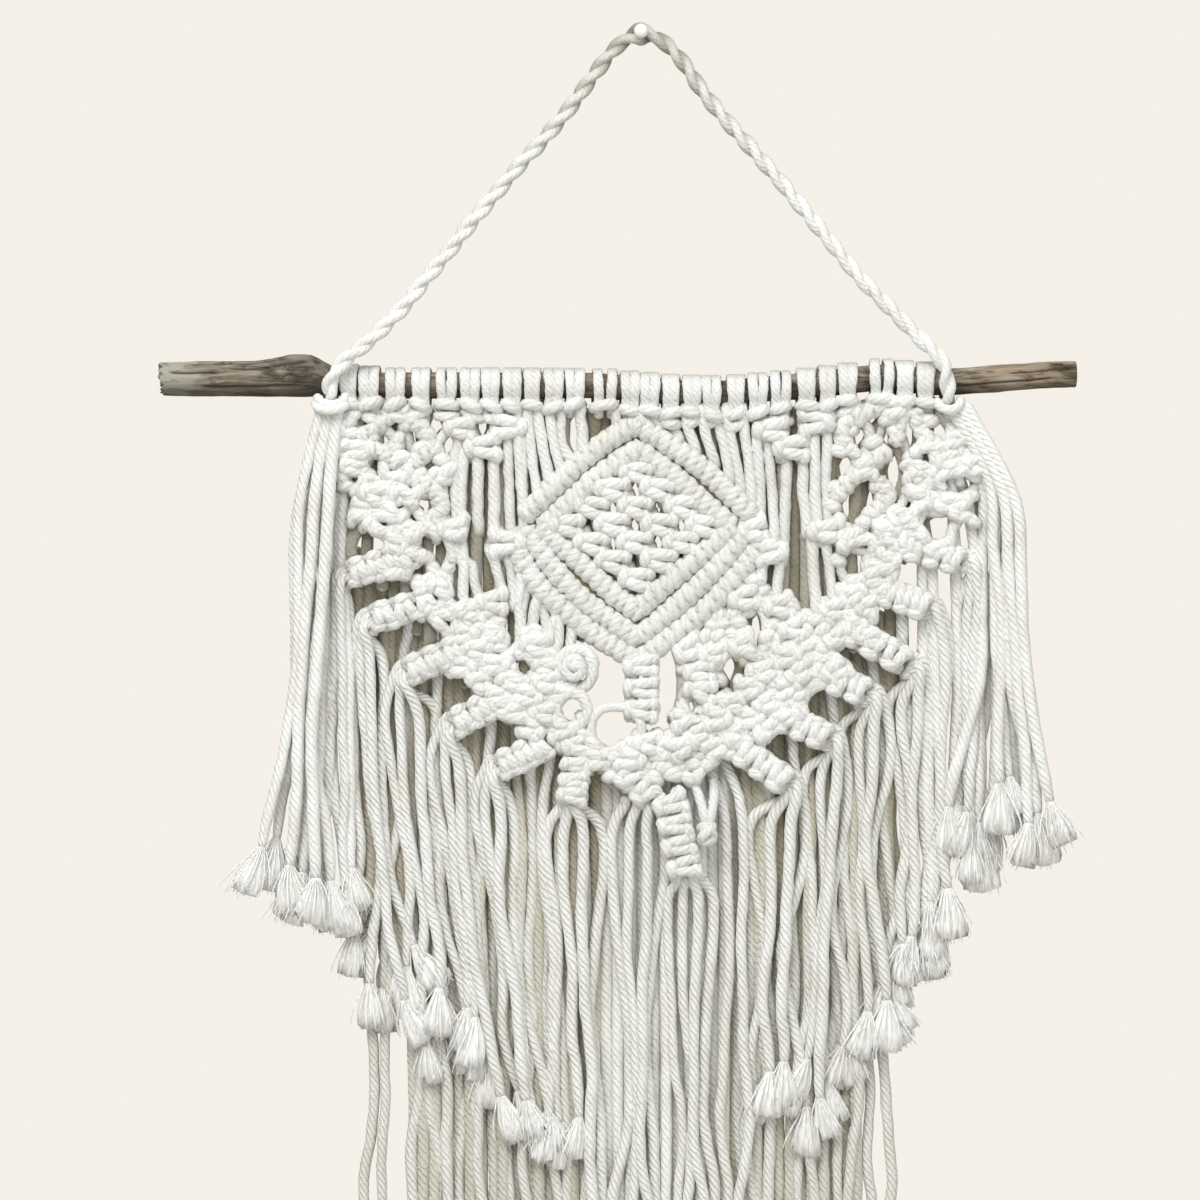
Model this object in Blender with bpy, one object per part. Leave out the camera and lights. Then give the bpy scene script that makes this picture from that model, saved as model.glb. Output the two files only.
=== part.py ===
"""Macrame wall hanging: a knotted cotton panel and its fringes on a driftwood branch,
hung by a twisted cord from a round-headed peg.

The origin is the middle of the peg's wall face. The wall is the plane y = 0, the hanging
is in front of it at -Y, and +Z is up. Tables hold millimetres; MM makes them metres.
"""

import math
import random
from typing import NamedTuple

import bmesh
import bpy
from mathutils import Matrix, Vector

MM = 0.001

# Depths in front of the wall.
BRANCH_Y = -12.0
PANEL_Y = -15.0
FRONT_FRINGE_Y = -8.8
BACK_FRINGE_Y = -4.3

# The 4 mm cotton cord, and what it makes.
CORD_RADIUS = 2.0
WRAP_THICKNESS = 2.5
WRAP_GAP = 0.35
WRAP_STEPS = 7
HITCH_RADIUS = 3.9
HITCH_PITCH = 6.0
KNOT_PITCH = 8.2
STRIP_RADIUS = 1.5
SIDE_STRIP_RADIUS = 3.4
PLY_RADIUS = 1.55
PLY_TWIST = math.pi / 11.0

# The peg, whose shaft passes between the hanging cord's two plies.
SHAFT_RADIUS = 0.9
SHAFT_LENGTH = 16.5
HEAD_RADIUS = 2.7
HEAD_LENGTH = 3.6
PEG_STEPS = 14


class Station(NamedTuple):
    """The branch's centre and thickness at one place along it."""

    x: float
    z: float
    radius: float


BRANCH = (
    Station(-174.0, -124.8, 5.9),
    Station(-160.0, -124.7, 6.3),
    Station(-138.0, -124.7, 6.4),
    Station(-127.0, -123.9, 7.4),
    Station(-120.0, -123.2, 8.2),
    Station(-115.0, -124.3, 6.4),
    Station(-110.0, -125.8, 5.0),
    Station(-90.0, -127.2, 4.6),
    Station(-52.0, -127.1, 4.6),
    Station(-15.0, -127.3, 4.5),
    Station(14.0, -129.8, 4.7),
    Station(30.0, -130.0, 4.6),
    Station(57.0, -127.6, 4.6),
    Station(86.0, -124.2, 4.9),
    Station(111.0, -126.0, 4.9),
    Station(129.0, -124.7, 4.9),
    Station(147.0, -123.2, 4.7),
    Station(157.0, -123.0, 4.8),
)

# The middles of the lark's heads along the branch.
HEADS = (
    -104.2, -97.2, -88.6, -79.4, -70.0, -61.6, -54.0, -46.4, -39.0, -31.6, -23.9, -13.0,
    -4.1, 3.4, 10.8, 18.2, 25.4, 34.2, 41.9, 50.2, 59.4, 67.0, 74.5, 86.6, 95.0, 102.6,
)  # fmt: skip


class Bar(NamedTuple):
    """A ridged row of hitches or knots along points (x, z)."""

    points: tuple
    radius: float = HITCH_RADIUS
    pitch: float = HITCH_PITCH
    y: float = PANEL_Y


DIAMOND = (
    Bar(((0.0, -140.0), (-15.0, -148.5), (-29.0, -160.5), (-42.0, -174.0))),
    Bar(((-0.5, -149.5), (-15.0, -159.5), (-25.5, -168.5), (-36.0, -178.0))),
    Bar(((-1.0, -142.0), (14.0, -150.5), (25.0, -159.5), (39.5, -174.0))),
    Bar(((-1.5, -150.0), (14.0, -161.5), (23.0, -169.5), (33.0, -178.0))),
    Bar(((-36.0, -178.0), (-22.0, -190.0), (-11.0, -201.0), (0.0, -209.5))),
    Bar(((-41.0, -177.0), (-29.0, -195.5), (-18.5, -206.5), (0.0, -219.0))),
    Bar(((-45.0, -183.5), (-38.0, -197.5), (-20.0, -213.5), (-1.0, -225.0))),
    Bar(((33.0, -178.0), (17.5, -190.0), (8.5, -197.5), (-1.0, -206.0))),
    Bar(((38.5, -178.0), (23.0, -195.5), (12.0, -206.5), (0.0, -217.0))),
    Bar(((42.0, -183.5), (28.5, -201.0), (17.5, -210.0), (-2.0, -225.5))),
)

# The band of knots is one flat bar along each of these.
BAND_LEFT = (
    (-104.0, -158.0), (-87.0, -183.0), (-69.0, -208.0), (-33.0, -246.0), (6.0, -266.0),
)  # fmt: skip
BAND_RIGHT = (
    (112.0, -158.0), (97.0, -183.0), (68.0, -222.5), (32.0, -249.5), (2.0, -265.0),
)  # fmt: skip
BAND_HALF_WIDTH = 10.6
BAND_FLATNESS = 0.4

TEETH = (
    Bar(((-92.0, -191.0), (-106.5, -195.5))),
    Bar(((-78.0, -205.0), (-98.5, -211.5))),
    Bar(((-65.0, -223.0), (-86.0, -231.5))),
    Bar(((-48.0, -240.5), (-69.0, -250.0))),
    Bar(((-32.0, -256.0), (-52.5, -264.5))),
    Bar(((-22.0, -260.0), (-25.5, -277.5))),
    Bar(((98.0, -186.0), (116.0, -191.0))),
    Bar(((86.0, -201.0), (102.0, -207.0))),
    Bar(((72.0, -217.0), (96.0, -228.0))),
    Bar(((58.0, -230.5), (81.5, -238.5))),
    Bar(((46.0, -246.0), (67.5, -254.0))),
    Bar(((32.0, -257.5), (53.5, -271.0))),
)

KNOTS = (
    # the loop beside the sinnet
    Bar(((-17.0, -252.0), (-13.0, -246.0), (-4.0, -245.5), (-1.0, -250.0)), 2.4),
    # the sinnet that ties the diamond to the band, and the tail below the band
    Bar(((0.0, -222.0), (-1.0, -236.0), (0.0, -262.0)), 4.6, 6.5, -15.8),
    Bar(((6.0, -268.0), (12.0, -284.0), (17.5, -304.0)), 5.4, 6.0, -16.6),
    # the leaves at the upper corners
    Bar(((-87.0, -135.0), (-74.0, -153.0)), 3.4),
    Bar(((-86.0, -136.0), (-102.0, -146.0)), 3.4),
    Bar(((-102.0, -146.0), (-86.0, -160.0)), 3.6),
    Bar(((-74.0, -150.0), (-104.0, -166.0)), 3.6),
    Bar(((-87.5, -159.0), (-71.5, -170.0), (-74.0, -186.0)), 3.6),
    Bar(((84.0, -131.5), (73.5, -143.0), (76.0, -154.0), (84.0, -160.0)), 3.4),
    Bar(((86.0, -131.5), (96.0, -152.0)), 3.4),
    Bar(((94.0, -152.0), (72.0, -164.0), (70.0, -172.0), (80.0, -184.0)), 3.6),
    Bar(((98.0, -132.0), (102.0, -148.0), (108.0, -160.0)), 3.4),
    # the square knots between the leaves and the diamond
    Bar(((-70.0, -142.0), (-56.5, -150.0), (-43.0, -141.0)), 3.5),
    Bar(((-74.0, -180.0), (-60.0, -179.5)), 4.0),
    Bar(((-56.0, -184.0), (-41.0, -181.0)), 4.0),
    Bar(((43.5, -142.0), (56.0, -150.0), (69.5, -142.5)), 3.5),
    Bar(((41.0, -180.0), (54.0, -186.0)), 4.0),
    Bar(((61.0, -180.0), (74.0, -181.0)), 4.0),
)


class Fan(NamedTuple):
    """Strands side by side, from a row of tops (x, z) past knees to a row of feet."""

    count: int
    tops: tuple
    knees: tuple
    feet: tuple
    y: float = PANEL_Y
    top_y: float = PANEL_Y
    bends: int = 1


PANEL_STRANDS = (
    Fan(8, ((-40.0, -135.0), (-8.0, -135.0)), ((-40.0, -150.0), (-10.0, -140.0)),
        ((-37.0, -170.0), (-7.0, -145.0))),
    Fan(8, ((5.0, -137.0), (38.0, -135.0)), ((7.0, -141.0), (37.0, -150.0)),
        ((6.0, -146.0), (35.0, -170.0))),
    Fan(6, ((-68.0, -135.0), (-44.0, -135.0)), ((-68.0, -160.0), (-44.0, -160.0)),
        ((-70.0, -180.0), (-43.0, -182.0))),
    Fan(5, ((43.5, -135.0), (68.0, -135.0)), ((44.0, -160.0), (68.0, -160.0)),
        ((43.0, -181.0), (70.0, -181.0))),
    Fan(5, ((-72.0, -181.0), (-44.0, -184.0)), ((-68.0, -196.0), (-44.0, -204.0)),
        ((-66.0, -208.0), (-42.0, -232.0))),
    Fan(5, ((44.0, -184.0), (72.0, -182.0)), ((45.0, -204.0), (70.0, -198.0)),
        ((47.0, -230.0), (74.0, -210.0))),
    Fan(3, ((-37.0, -200.0), (-26.0, -208.0)), ((-36.0, -216.0), (-25.0, -226.0)),
        ((-34.0, -240.0), (-22.0, -250.0))),
    Fan(3, ((22.0, -208.0), (36.0, -196.0)), ((21.0, -228.0), (36.0, -218.0)),
        ((20.0, -250.0), (38.0, -240.0))),
    Fan(4, ((-103.0, -134.0), (-78.0, -134.0)), ((-104.0, -148.0), (-80.0, -146.0)),
        ((-103.0, -164.0), (-78.0, -162.0))),
    Fan(3, ((79.0, -132.0), (103.0, -132.0)), ((80.0, -146.0), (104.0, -146.0)),
        ((82.0, -158.0), (104.0, -160.0))),
    # the net of crossing strands inside the diamond
    Fan(5, ((-29.0, -174.0), (1.0, -149.0)), ((-14.5, -186.5), (14.5, -162.5)),
        ((0.0, -204.0), (29.0, -178.0)), PANEL_Y + 0.6),
    Fan(5, ((-4.0, -151.0), (27.0, -176.0)), ((-16.5, -165.0), (12.5, -189.5)),
        ((-29.0, -182.0), (-1.0, -204.0)), PANEL_Y - 0.6),
)  # fmt: skip

# Each fringe hangs from a narrow strip along its points (x, z).
FRONT_STRIP = Bar(
    ((-106.0, -176.0), (-92.0, -196.0), (-74.0, -219.0), (-40.0, -252.0), (4.0, -272.0),
     (40.0, -254.0), (74.0, -228.0), (102.0, -192.0), (112.0, -176.0)),
    STRIP_RADIUS, 12.0, FRONT_FRINGE_Y - 1.1,
)  # fmt: skip
FRONT_FRINGE = (
    Fan(4, ((-106.0, -176.0), (-95.0, -192.0)), ((-117.0, -208.0), (-102.0, -212.0)),
        ((-124.0, -300.0), (-103.0, -310.0)), FRONT_FRINGE_Y, FRONT_FRINGE_Y, 2),
    Fan(4, ((-93.0, -195.0), (-85.0, -205.0)), ((-97.0, -226.0), (-85.0, -226.0)),
        ((-97.0, -338.0), (-82.0, -344.0)), FRONT_FRINGE_Y, FRONT_FRINGE_Y, 2),
    Fan(4, ((-83.0, -208.0), (-72.0, -221.0)), ((-80.0, -242.0), (-68.0, -242.0)),
        ((-77.0, -352.0), (-62.0, -346.0)), FRONT_FRINGE_Y, FRONT_FRINGE_Y, 2),
    Fan(4, ((-68.0, -225.0), (-54.0, -238.0)), ((-63.0, -258.0), (-51.0, -260.0)),
        ((-57.0, -360.0), (-43.0, -378.0)), FRONT_FRINGE_Y, FRONT_FRINGE_Y, 2),
    Fan(4, ((-50.0, -242.0), (-38.0, -253.0)), ((-46.0, -272.0), (-33.0, -280.0)),
        ((-38.0, -384.0), (-24.0, -390.0)), FRONT_FRINGE_Y, FRONT_FRINGE_Y, 2),
    Fan(4, ((-32.0, -256.0), (-14.0, -264.0)), ((-28.0, -290.0), (-14.0, -290.0)),
        ((-19.0, -460.0), (-4.0, -456.0)), FRONT_FRINGE_Y, FRONT_FRINGE_Y, 2),
    Fan(5, ((-8.0, -267.0), (14.0, -268.0)), ((-7.0, -312.0), (17.0, -312.0)),
        ((1.0, -458.0), (22.0, -460.0)), FRONT_FRINGE_Y, FRONT_FRINGE_Y, 2),
    Fan(4, ((20.0, -264.0), (33.0, -257.5)), ((24.0, -290.0), (38.0, -286.0)),
        ((27.0, -454.0), (42.0, -384.0)), FRONT_FRINGE_Y, FRONT_FRINGE_Y, 2),
    Fan(4, ((37.0, -256.0), (48.0, -249.0)), ((44.0, -284.0), (58.0, -282.0)),
        ((47.0, -380.0), (62.0, -386.0)), FRONT_FRINGE_Y, FRONT_FRINGE_Y, 2),
    Fan(4, ((52.0, -246.0), (65.0, -236.0)), ((63.0, -262.0), (75.0, -262.0)),
        ((67.0, -366.0), (80.0, -350.0)), FRONT_FRINGE_Y, FRONT_FRINGE_Y, 2),
    Fan(4, ((69.0, -233.0), (79.0, -222.0)), ((80.0, -246.0), (91.0, -246.0)),
        ((85.0, -344.0), (98.0, -330.0)), FRONT_FRINGE_Y, FRONT_FRINGE_Y, 2),
    Fan(4, ((83.0, -217.0), (95.0, -202.0)), ((96.0, -230.0), (108.0, -232.0)),
        ((102.0, -322.0), (116.0, -296.0)), FRONT_FRINGE_Y, FRONT_FRINGE_Y, 2),
    Fan(3, ((101.0, -194.0), (110.0, -180.0)), ((113.0, -214.0), (123.0, -214.0)),
        ((121.0, -290.0), (131.0, -280.0)), FRONT_FRINGE_Y, FRONT_FRINGE_Y, 2),
)  # fmt: skip

BACK_STRIP = Bar(
    ((-97.0, -193.0), (-80.0, -215.0), (-40.0, -250.0), (0.0, -266.0), (40.0, -250.0),
     (90.0, -214.0)),
    STRIP_RADIUS, 12.0, BACK_FRINGE_Y,
)  # fmt: skip
BACK_FRINGE = (
    Fan(2, ((-96.0, -194.0), (-91.0, -201.0)), ((-98.0, -240.0), (-92.5, -240.0)),
        ((-98.0, -462.0), (-92.0, -458.0)), BACK_FRINGE_Y, BACK_FRINGE_Y),
    Fan(14, ((-84.0, -210.0), (-22.0, -257.5)), ((-83.0, -300.0), (-21.0, -300.0)),
        ((-80.0, -462.0), (-17.0, -460.0)), BACK_FRINGE_Y, BACK_FRINGE_Y),
    Fan(6, ((-12.0, -261.5), (24.0, -257.0)), ((-12.0, -300.0), (24.0, -300.0)),
        ((-10.0, -456.0), (24.0, -458.0)), BACK_FRINGE_Y, BACK_FRINGE_Y),
    Fan(9, ((31.0, -254.0), (78.0, -224.0)), ((34.0, -300.0), (78.0, -300.0)),
        ((36.0, -462.0), (76.0, -462.0)), BACK_FRINGE_Y, BACK_FRINGE_Y),
    Fan(2, ((84.0, -219.5), (89.0, -215.0)), ((83.0, -260.0), (89.0, -260.0)),
        ((82.0, -456.0), (88.5, -460.0)), BACK_FRINGE_Y, BACK_FRINGE_Y),
)  # fmt: skip

LEFT_STRIP = Bar(((-119.0, -139.5), (-109.0, -139.0)), SIDE_STRIP_RADIUS, 12.0, -16.5)
LEFT_FRINGE = (
    Fan(3, ((-117.6, -139.5), (-110.2, -139.1)), ((-125.5, -166.0), (-117.2, -166.0)),
        ((-131.0, -300.0), (-114.0, -308.0)), -19.6, -18.7, 3),
    Fan(3, ((-118.2, -139.5), (-109.8, -139.1)), ((-126.0, -170.0), (-117.4, -170.0)),
        ((-136.0, -290.0), (-118.0, -304.0)), -13.8, -14.3, 3),
)  # fmt: skip
RIGHT_STRIP = Bar(((108.0, -139.5), (119.0, -138.5)), SIDE_STRIP_RADIUS, 12.0, -16.5)
RIGHT_FRINGE = (
    Fan(3, ((109.5, -139.3), (117.5, -138.7)), ((127.5, -160.0), (136.0, -162.0)),
        ((128.0, -316.0), (143.0, -274.0)), -19.6, -18.7, 3),
    Fan(3, ((109.0, -139.4), (118.2, -138.6)), ((127.0, -163.0), (136.5, -164.0)),
        ((134.0, -280.0), (148.0, -284.0)), -13.8, -14.3, 3),
)  # fmt: skip

# The hanging cord's two legs (x, y, z), each from the peg down to its turn at the branch.
LEG_LEFT = (
    (-4.7, -12.0, -2.0), (-9.2, -12.2, -5.4), (-14.8, -12.6, -12.0), (-28.0, -13.4, -30.0),
    (-51.0, -15.0, -56.5), (-72.5, -17.0, -83.0), (-94.0, -19.4, -108.5),
    (-107.0, -22.2, -119.5),
)  # fmt: skip
LEG_RIGHT = (
    (4.7, -12.0, -1.5), (9.0, -12.2, -4.2), (16.2, -12.6, -12.0), (26.0, -13.4, -26.0),
    (49.5, -15.0, -53.0), (72.0, -17.0, -80.5), (93.0, -19.2, -103.5),
    (107.0, -21.6, -118.0),
)  # fmt: skip
TURN_LEFT_X = -111.4
TURN_RIGHT_X = 110.0
TURN_RADIUS = 8.4
APEX = (0.0, -12.0, -0.4)
APEX_TILT = 0.0
PIN_CLEARANCE = 0.35


def clear_scene() -> None:
    """Removes what Blender starts with."""
    for found in list(bpy.data.objects):
        bpy.data.objects.remove(found, do_unlink=True)


def material(name: str, colour: tuple, roughness: float) -> bpy.types.Material:
    """A plain surface."""
    made = bpy.data.materials.new(name)
    made.use_nodes = True
    shader = made.node_tree.nodes["Principled BSDF"]
    shader.inputs["Base Color"].default_value = (*colour, 1.0)
    shader.inputs["Roughness"].default_value = roughness
    made.diffuse_color = (*colour, 1.0)
    return made


def smooth_path(points: list, step: float, least: int = 1) -> list:
    """Points about step apart on a Catmull-Rom curve, with at least so many to a span."""
    ends = [2 * points[0] - points[1], *points, 2 * points[-1] - points[-2]]
    path = []
    for a, b, c, d in zip(ends, ends[1:], ends[2:], ends[3:]):
        count = max(least, round((c - b).length / step))
        for i in range(count):
            t = i / count
            path.append(
                0.5 * (2 * b + (c - a) * t + (2 * a - 5 * b + 4 * c - d) * t * t
                       + (3 * b - a - 3 * c + d) * t**3)
            )  # fmt: skip
    return [*path, points[-1]]


def outline(points: list) -> bpy.types.Object:
    """A closed outline in millimetres, which a curve sweeps along itself."""
    curve = bpy.data.curves.new("outline", "CURVE")
    ring = curve.splines.new("POLY")
    ring.points.add(len(points) - 1)
    ring.use_cyclic_u = True
    for point, (u, v) in zip(ring.points, points):
        point.co = (u * MM, v * MM, 0.0, 1.0)
    return bpy.data.objects.new("outline", curve)


def mesh_of(curve: bpy.types.Curve) -> bpy.types.Mesh:
    """A curve as a closed mesh facing out. The curve is removed."""
    holder = bpy.data.objects.new(curve.name, curve)
    bpy.context.scene.collection.objects.link(holder)
    bpy.context.view_layer.update()
    graph = bpy.context.evaluated_depsgraph_get()
    made = bpy.data.meshes.new_from_object(holder.evaluated_get(graph))
    bpy.data.curves.remove(curve.bevel_object.data)
    bpy.data.curves.remove(curve)
    work = bmesh.new()
    work.from_mesh(made)
    bmesh.ops.remove_doubles(work, verts=work.verts, dist=1e-6)
    bmesh.ops.recalc_face_normals(work, faces=work.faces)
    work.to_mesh(made)
    work.free()
    return made


class Tubes:
    """Closed tubes that gather in one mesh, in millimetres until they are built."""

    def __init__(self, name: str, sides: int) -> None:
        self.curve = bpy.data.curves.new(name, "CURVE")
        self.curve.dimensions = "3D"
        self.curve.use_fill_caps = True
        self.curve.bevel_mode = "OBJECT"
        around = [2 * math.pi * (i + 0.5) / sides for i in range(sides)]
        self.curve.bevel_object = outline([(math.cos(a), math.sin(a)) for a in around])

    def add(self, path: list, radii: list) -> None:
        """Adds one tube along the path, with a radius for each point."""
        spline = self.curve.splines.new("POLY")
        spline.points.add(len(path) - 1)
        for point, place, radius in zip(spline.points, path, radii):
            point.co = (*(place * MM), 1.0)
            point.radius = radius

    def add_ridged(self, bar: Bar) -> None:
        """Adds a bar whose radius swells once for each hitch."""
        path = smooth_path([Vector((x, bar.y, z)) for x, z in bar.points], bar.pitch / 2)
        swell = (1.0, 0.76)
        radii = [bar.radius * swell[i % 2] for i in range(len(path))]
        radii[0] = radii[-1] = 0.6 * bar.radius
        self.add(path, radii)

    def add_fan(self, fan: Fan, spread: random.Random) -> None:
        """Adds a fan's strands."""
        for i in range(fan.count):
            t = i / (fan.count - 1)
            (top, knee, foot) = (
                Vector((a[0] + (b[0] - a[0]) * t, 0.0, a[1] + (b[1] - a[1]) * t))
                for a, b in (fan.tops, fan.knees, fan.feet)
            )
            sway = Vector((spread.uniform(-0.2, 0.2), spread.uniform(-0.1, 0.1), 0.0))
            top += Vector((0.0, fan.top_y + sway.y, 0.0))
            knee += Vector((sway.x, fan.y + sway.y, 0.0))
            foot += Vector((0.0, fan.y + sway.y, 0.0))
            path = smooth_path([top, knee, foot], 1e3, fan.bends)
            self.add(path, [CORD_RADIUS] * len(path))

    def mesh(self) -> bpy.types.Mesh:
        """The tubes as one mesh, and the curve removed."""
        return mesh_of(self.curve)


class Builder:
    """Puts nodes in the object's collection and cutters in another."""

    def __init__(self) -> None:
        self.nodes = bpy.data.collections.new("macrame_wall_hanging")
        self.helpers = bpy.data.collections.new("helpers")
        for made in (self.nodes, self.helpers):
            bpy.context.scene.collection.children.link(made)
        self.cotton = material("cotton", (0.86, 0.85, 0.80), 0.95)
        self.wood = material("driftwood", (0.33, 0.28, 0.21), 0.85)
        self.enamel = material("enamel", (0.85, 0.85, 0.82), 0.35)

    def node(self, name: str, mesh: bpy.types.Mesh, finish: bpy.types.Material) -> bpy.types.Object:
        """One node of the object."""
        made = bpy.data.objects.new(name, mesh)
        self.nodes.objects.link(made)
        mesh.materials.clear()
        mesh.materials.append(finish)
        return made

    def helper(self, made: bpy.types.Object, name: str) -> bpy.types.Object:
        """Keeps an object as a hidden helper."""
        made.name = name
        made.hide_render = True
        made.display_type = "WIRE"
        for found in made.users_collection:
            found.objects.unlink(made)
        self.helpers.objects.link(made)
        return made

    def cut(self, target: bpy.types.Object, cutter: bpy.types.Object, name: str) -> None:
        """Cuts a helper out of the target."""
        cut = target.modifiers.new(name, "BOOLEAN")
        cut.operation = "DIFFERENCE"
        cut.solver = "EXACT"
        cut.object = self.helper(cutter, name)

    def fuse(self, target: bpy.types.Object, mesh: bpy.types.Mesh) -> None:
        """Joins a helper mesh to the target, and the target's own tubes to each other."""
        name = target.name + "_join"
        union = target.modifiers.new("fuse", "BOOLEAN")
        union.operation = "UNION"
        union.solver = "EXACT"
        union.use_self = True
        union.object = self.helper(bpy.data.objects.new(name, mesh), name)


def branch_at(x: float) -> Station:
    """The branch's centre and radius at x, between two stations."""
    for a, b in zip(BRANCH, BRANCH[1:]):
        if x <= b.x:
            t = (x - a.x) / (b.x - a.x)
            return Station(x, a.z + (b.z - a.z) * t, a.radius + (b.radius - a.radius) * t)
    return BRANCH[-1]


def build_branch(builder: Builder) -> None:
    """The branch: one tube through its stations, with flat sawn ends."""
    tubes = Tubes("driftwood_branch", 10)
    path, radii = [], []
    for a, b in zip(BRANCH, BRANCH[1:]):
        steps = max(1, round((b.x - a.x) / 9.0))
        for i in range(steps):
            at = branch_at(a.x + (b.x - a.x) * i / steps)
            path.append(Vector((at.x, BRANCH_Y, at.z)))
            radii.append(at.radius)
    path.append(Vector((BRANCH[-1].x, BRANCH_Y, BRANCH[-1].z)))
    radii.append(BRANCH[-1].radius)
    tubes.add(path, radii)
    mesh = tubes.mesh()
    mesh.shade_smooth()
    builder.node("driftwood_branch", mesh, builder.wood)


def build_peg(builder: Builder) -> None:
    """The peg: a turned shaft and round head, its flat end on the wall."""
    head = -SHAFT_LENGTH
    profile = (
        (0.0, 0.0), (SHAFT_RADIUS, 0.0), (SHAFT_RADIUS, head), (0.85 * HEAD_RADIUS, head - 0.3),
        (HEAD_RADIUS, head - 0.4 * HEAD_LENGTH), (0.8 * HEAD_RADIUS, head - 0.8 * HEAD_LENGTH),
        (0.0, head - HEAD_LENGTH),
    )  # fmt: skip
    work = bmesh.new()
    points = [work.verts.new((r * MM, y * MM, 0.0)) for r, y in profile]
    edges = [work.edges.new(pair) for pair in zip(points, points[1:])]
    bmesh.ops.spin(
        work, geom=[*points, *edges], cent=(0, 0, 0), axis=(0, 1, 0),
        angle=2 * math.pi, steps=PEG_STEPS, use_merge=True,
    )  # fmt: skip
    bmesh.ops.remove_doubles(work, verts=work.verts, dist=1e-6)
    bmesh.ops.recalc_face_normals(work, faces=work.faces)
    mesh = bpy.data.meshes.new("wall_peg")
    work.to_mesh(mesh)
    work.free()
    builder.node("wall_peg", mesh, builder.enamel)


def turn(x: float, step: float) -> list:
    """The hanging cord's turn under the branch at x, from its front to its back."""
    at = branch_at(x)
    radius = TURN_RADIUS + at.radius - 4.9
    return [
        Vector((x + step * i, BRANCH_Y - radius * math.cos(a), at.z - radius * math.sin(a)))
        for i, a in enumerate(math.radians(d) for d in range(5, 215, 30))
    ]


def build_hanging_cord(builder: Builder) -> None:
    """The hanging cord: two plies twisted together, over the peg and round the branch."""
    left = [*LEG_LEFT]
    path = [
        *reversed(turn(TURN_LEFT_X, -0.2)),
        *(Vector(p) for p in reversed(left)),
        Vector(APEX),
        *(Vector(p) for p in LEG_RIGHT),
        *turn(TURN_RIGHT_X, 0.2),
    ]
    path = smooth_path(path, 5.0)
    profile = []
    for a in (math.radians(d) for d in (0, 50, 90, 130, 180, 230, 270, 310)):
        reach = PLY_RADIUS * (2.0 * abs(math.cos(a)) + 0.75 * abs(math.sin(a)))
        profile.append((reach * math.cos(a), reach * math.sin(a)))
    curve = bpy.data.curves.new("hanging_cord", "CURVE")
    curve.dimensions = "3D"
    curve.twist_mode = "MINIMUM"
    curve.bevel_mode = "OBJECT"
    curve.bevel_object = outline(profile)
    curve.use_fill_caps = True
    spline = curve.splines.new("POLY")
    spline.points.add(len(path) - 1)
    apex = max(range(len(path)), key=lambda i: path[i].z)
    along = 0.0
    lengths = []
    for i, place in enumerate(path):
        along += (place - path[i - 1]).length if i else 0.0
        lengths.append(along)
    for i, (point, place) in enumerate(zip(spline.points, path)):
        point.co = (*(place * MM), 1.0)
        point.tilt = APEX_TILT + (lengths[i] - lengths[apex]) * PLY_TWIST
    mesh = mesh_of(curve)
    mesh.shade_smooth()
    cord = builder.node("hanging_cord", mesh, builder.cotton)
    bpy.ops.mesh.primitive_cylinder_add(
        vertices=10, radius=(SHAFT_RADIUS + PIN_CLEARANCE) * MM, depth=12 * MM,
        location=(0.0, APEX[1] * MM, 0.0), rotation=(math.pi / 2, 0.0, 0.0),
    )  # fmt: skip
    builder.cut(cord, bpy.context.object, "pin_hole")


def add_wraps(work: bmesh.types.BMesh) -> None:
    """Adds a flat ring round the branch for each lark's head."""
    for x in HEADS:
        at = branch_at(x)
        inner = (at.radius + WRAP_GAP) / math.cos(math.pi / WRAP_STEPS)
        outer = inner + WRAP_THICKNESS
        half = 3.3
        corners = ((-half, inner), (half, inner), (half, outer), (-half, outer))
        place = Matrix.Translation((x * MM, BRANCH_Y * MM, at.z * MM))
        points = [work.verts.new(place @ Vector((u * MM, 0.0, r * MM))) for u, r in corners]
        edges = [work.edges.new((points[i], points[i - 1])) for i in range(4)]
        bmesh.ops.spin(
            work, geom=[*points, *edges], cent=(x * MM, BRANCH_Y * MM, at.z * MM),
            axis=(1, 0, 0), angle=2 * math.pi, steps=WRAP_STEPS, use_merge=True,
        )  # fmt: skip


def flattened(mesh: bpy.types.Mesh, flatness: float) -> bpy.types.Mesh:
    """The mesh squeezed in depth about the panel's middle plane."""
    middle = Matrix.Translation((0.0, PANEL_Y * MM, 0.0))
    mesh.transform(middle @ Matrix.Diagonal((1.0, flatness, 1.0, 1.0)) @ middle.inverted())
    return mesh


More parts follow.
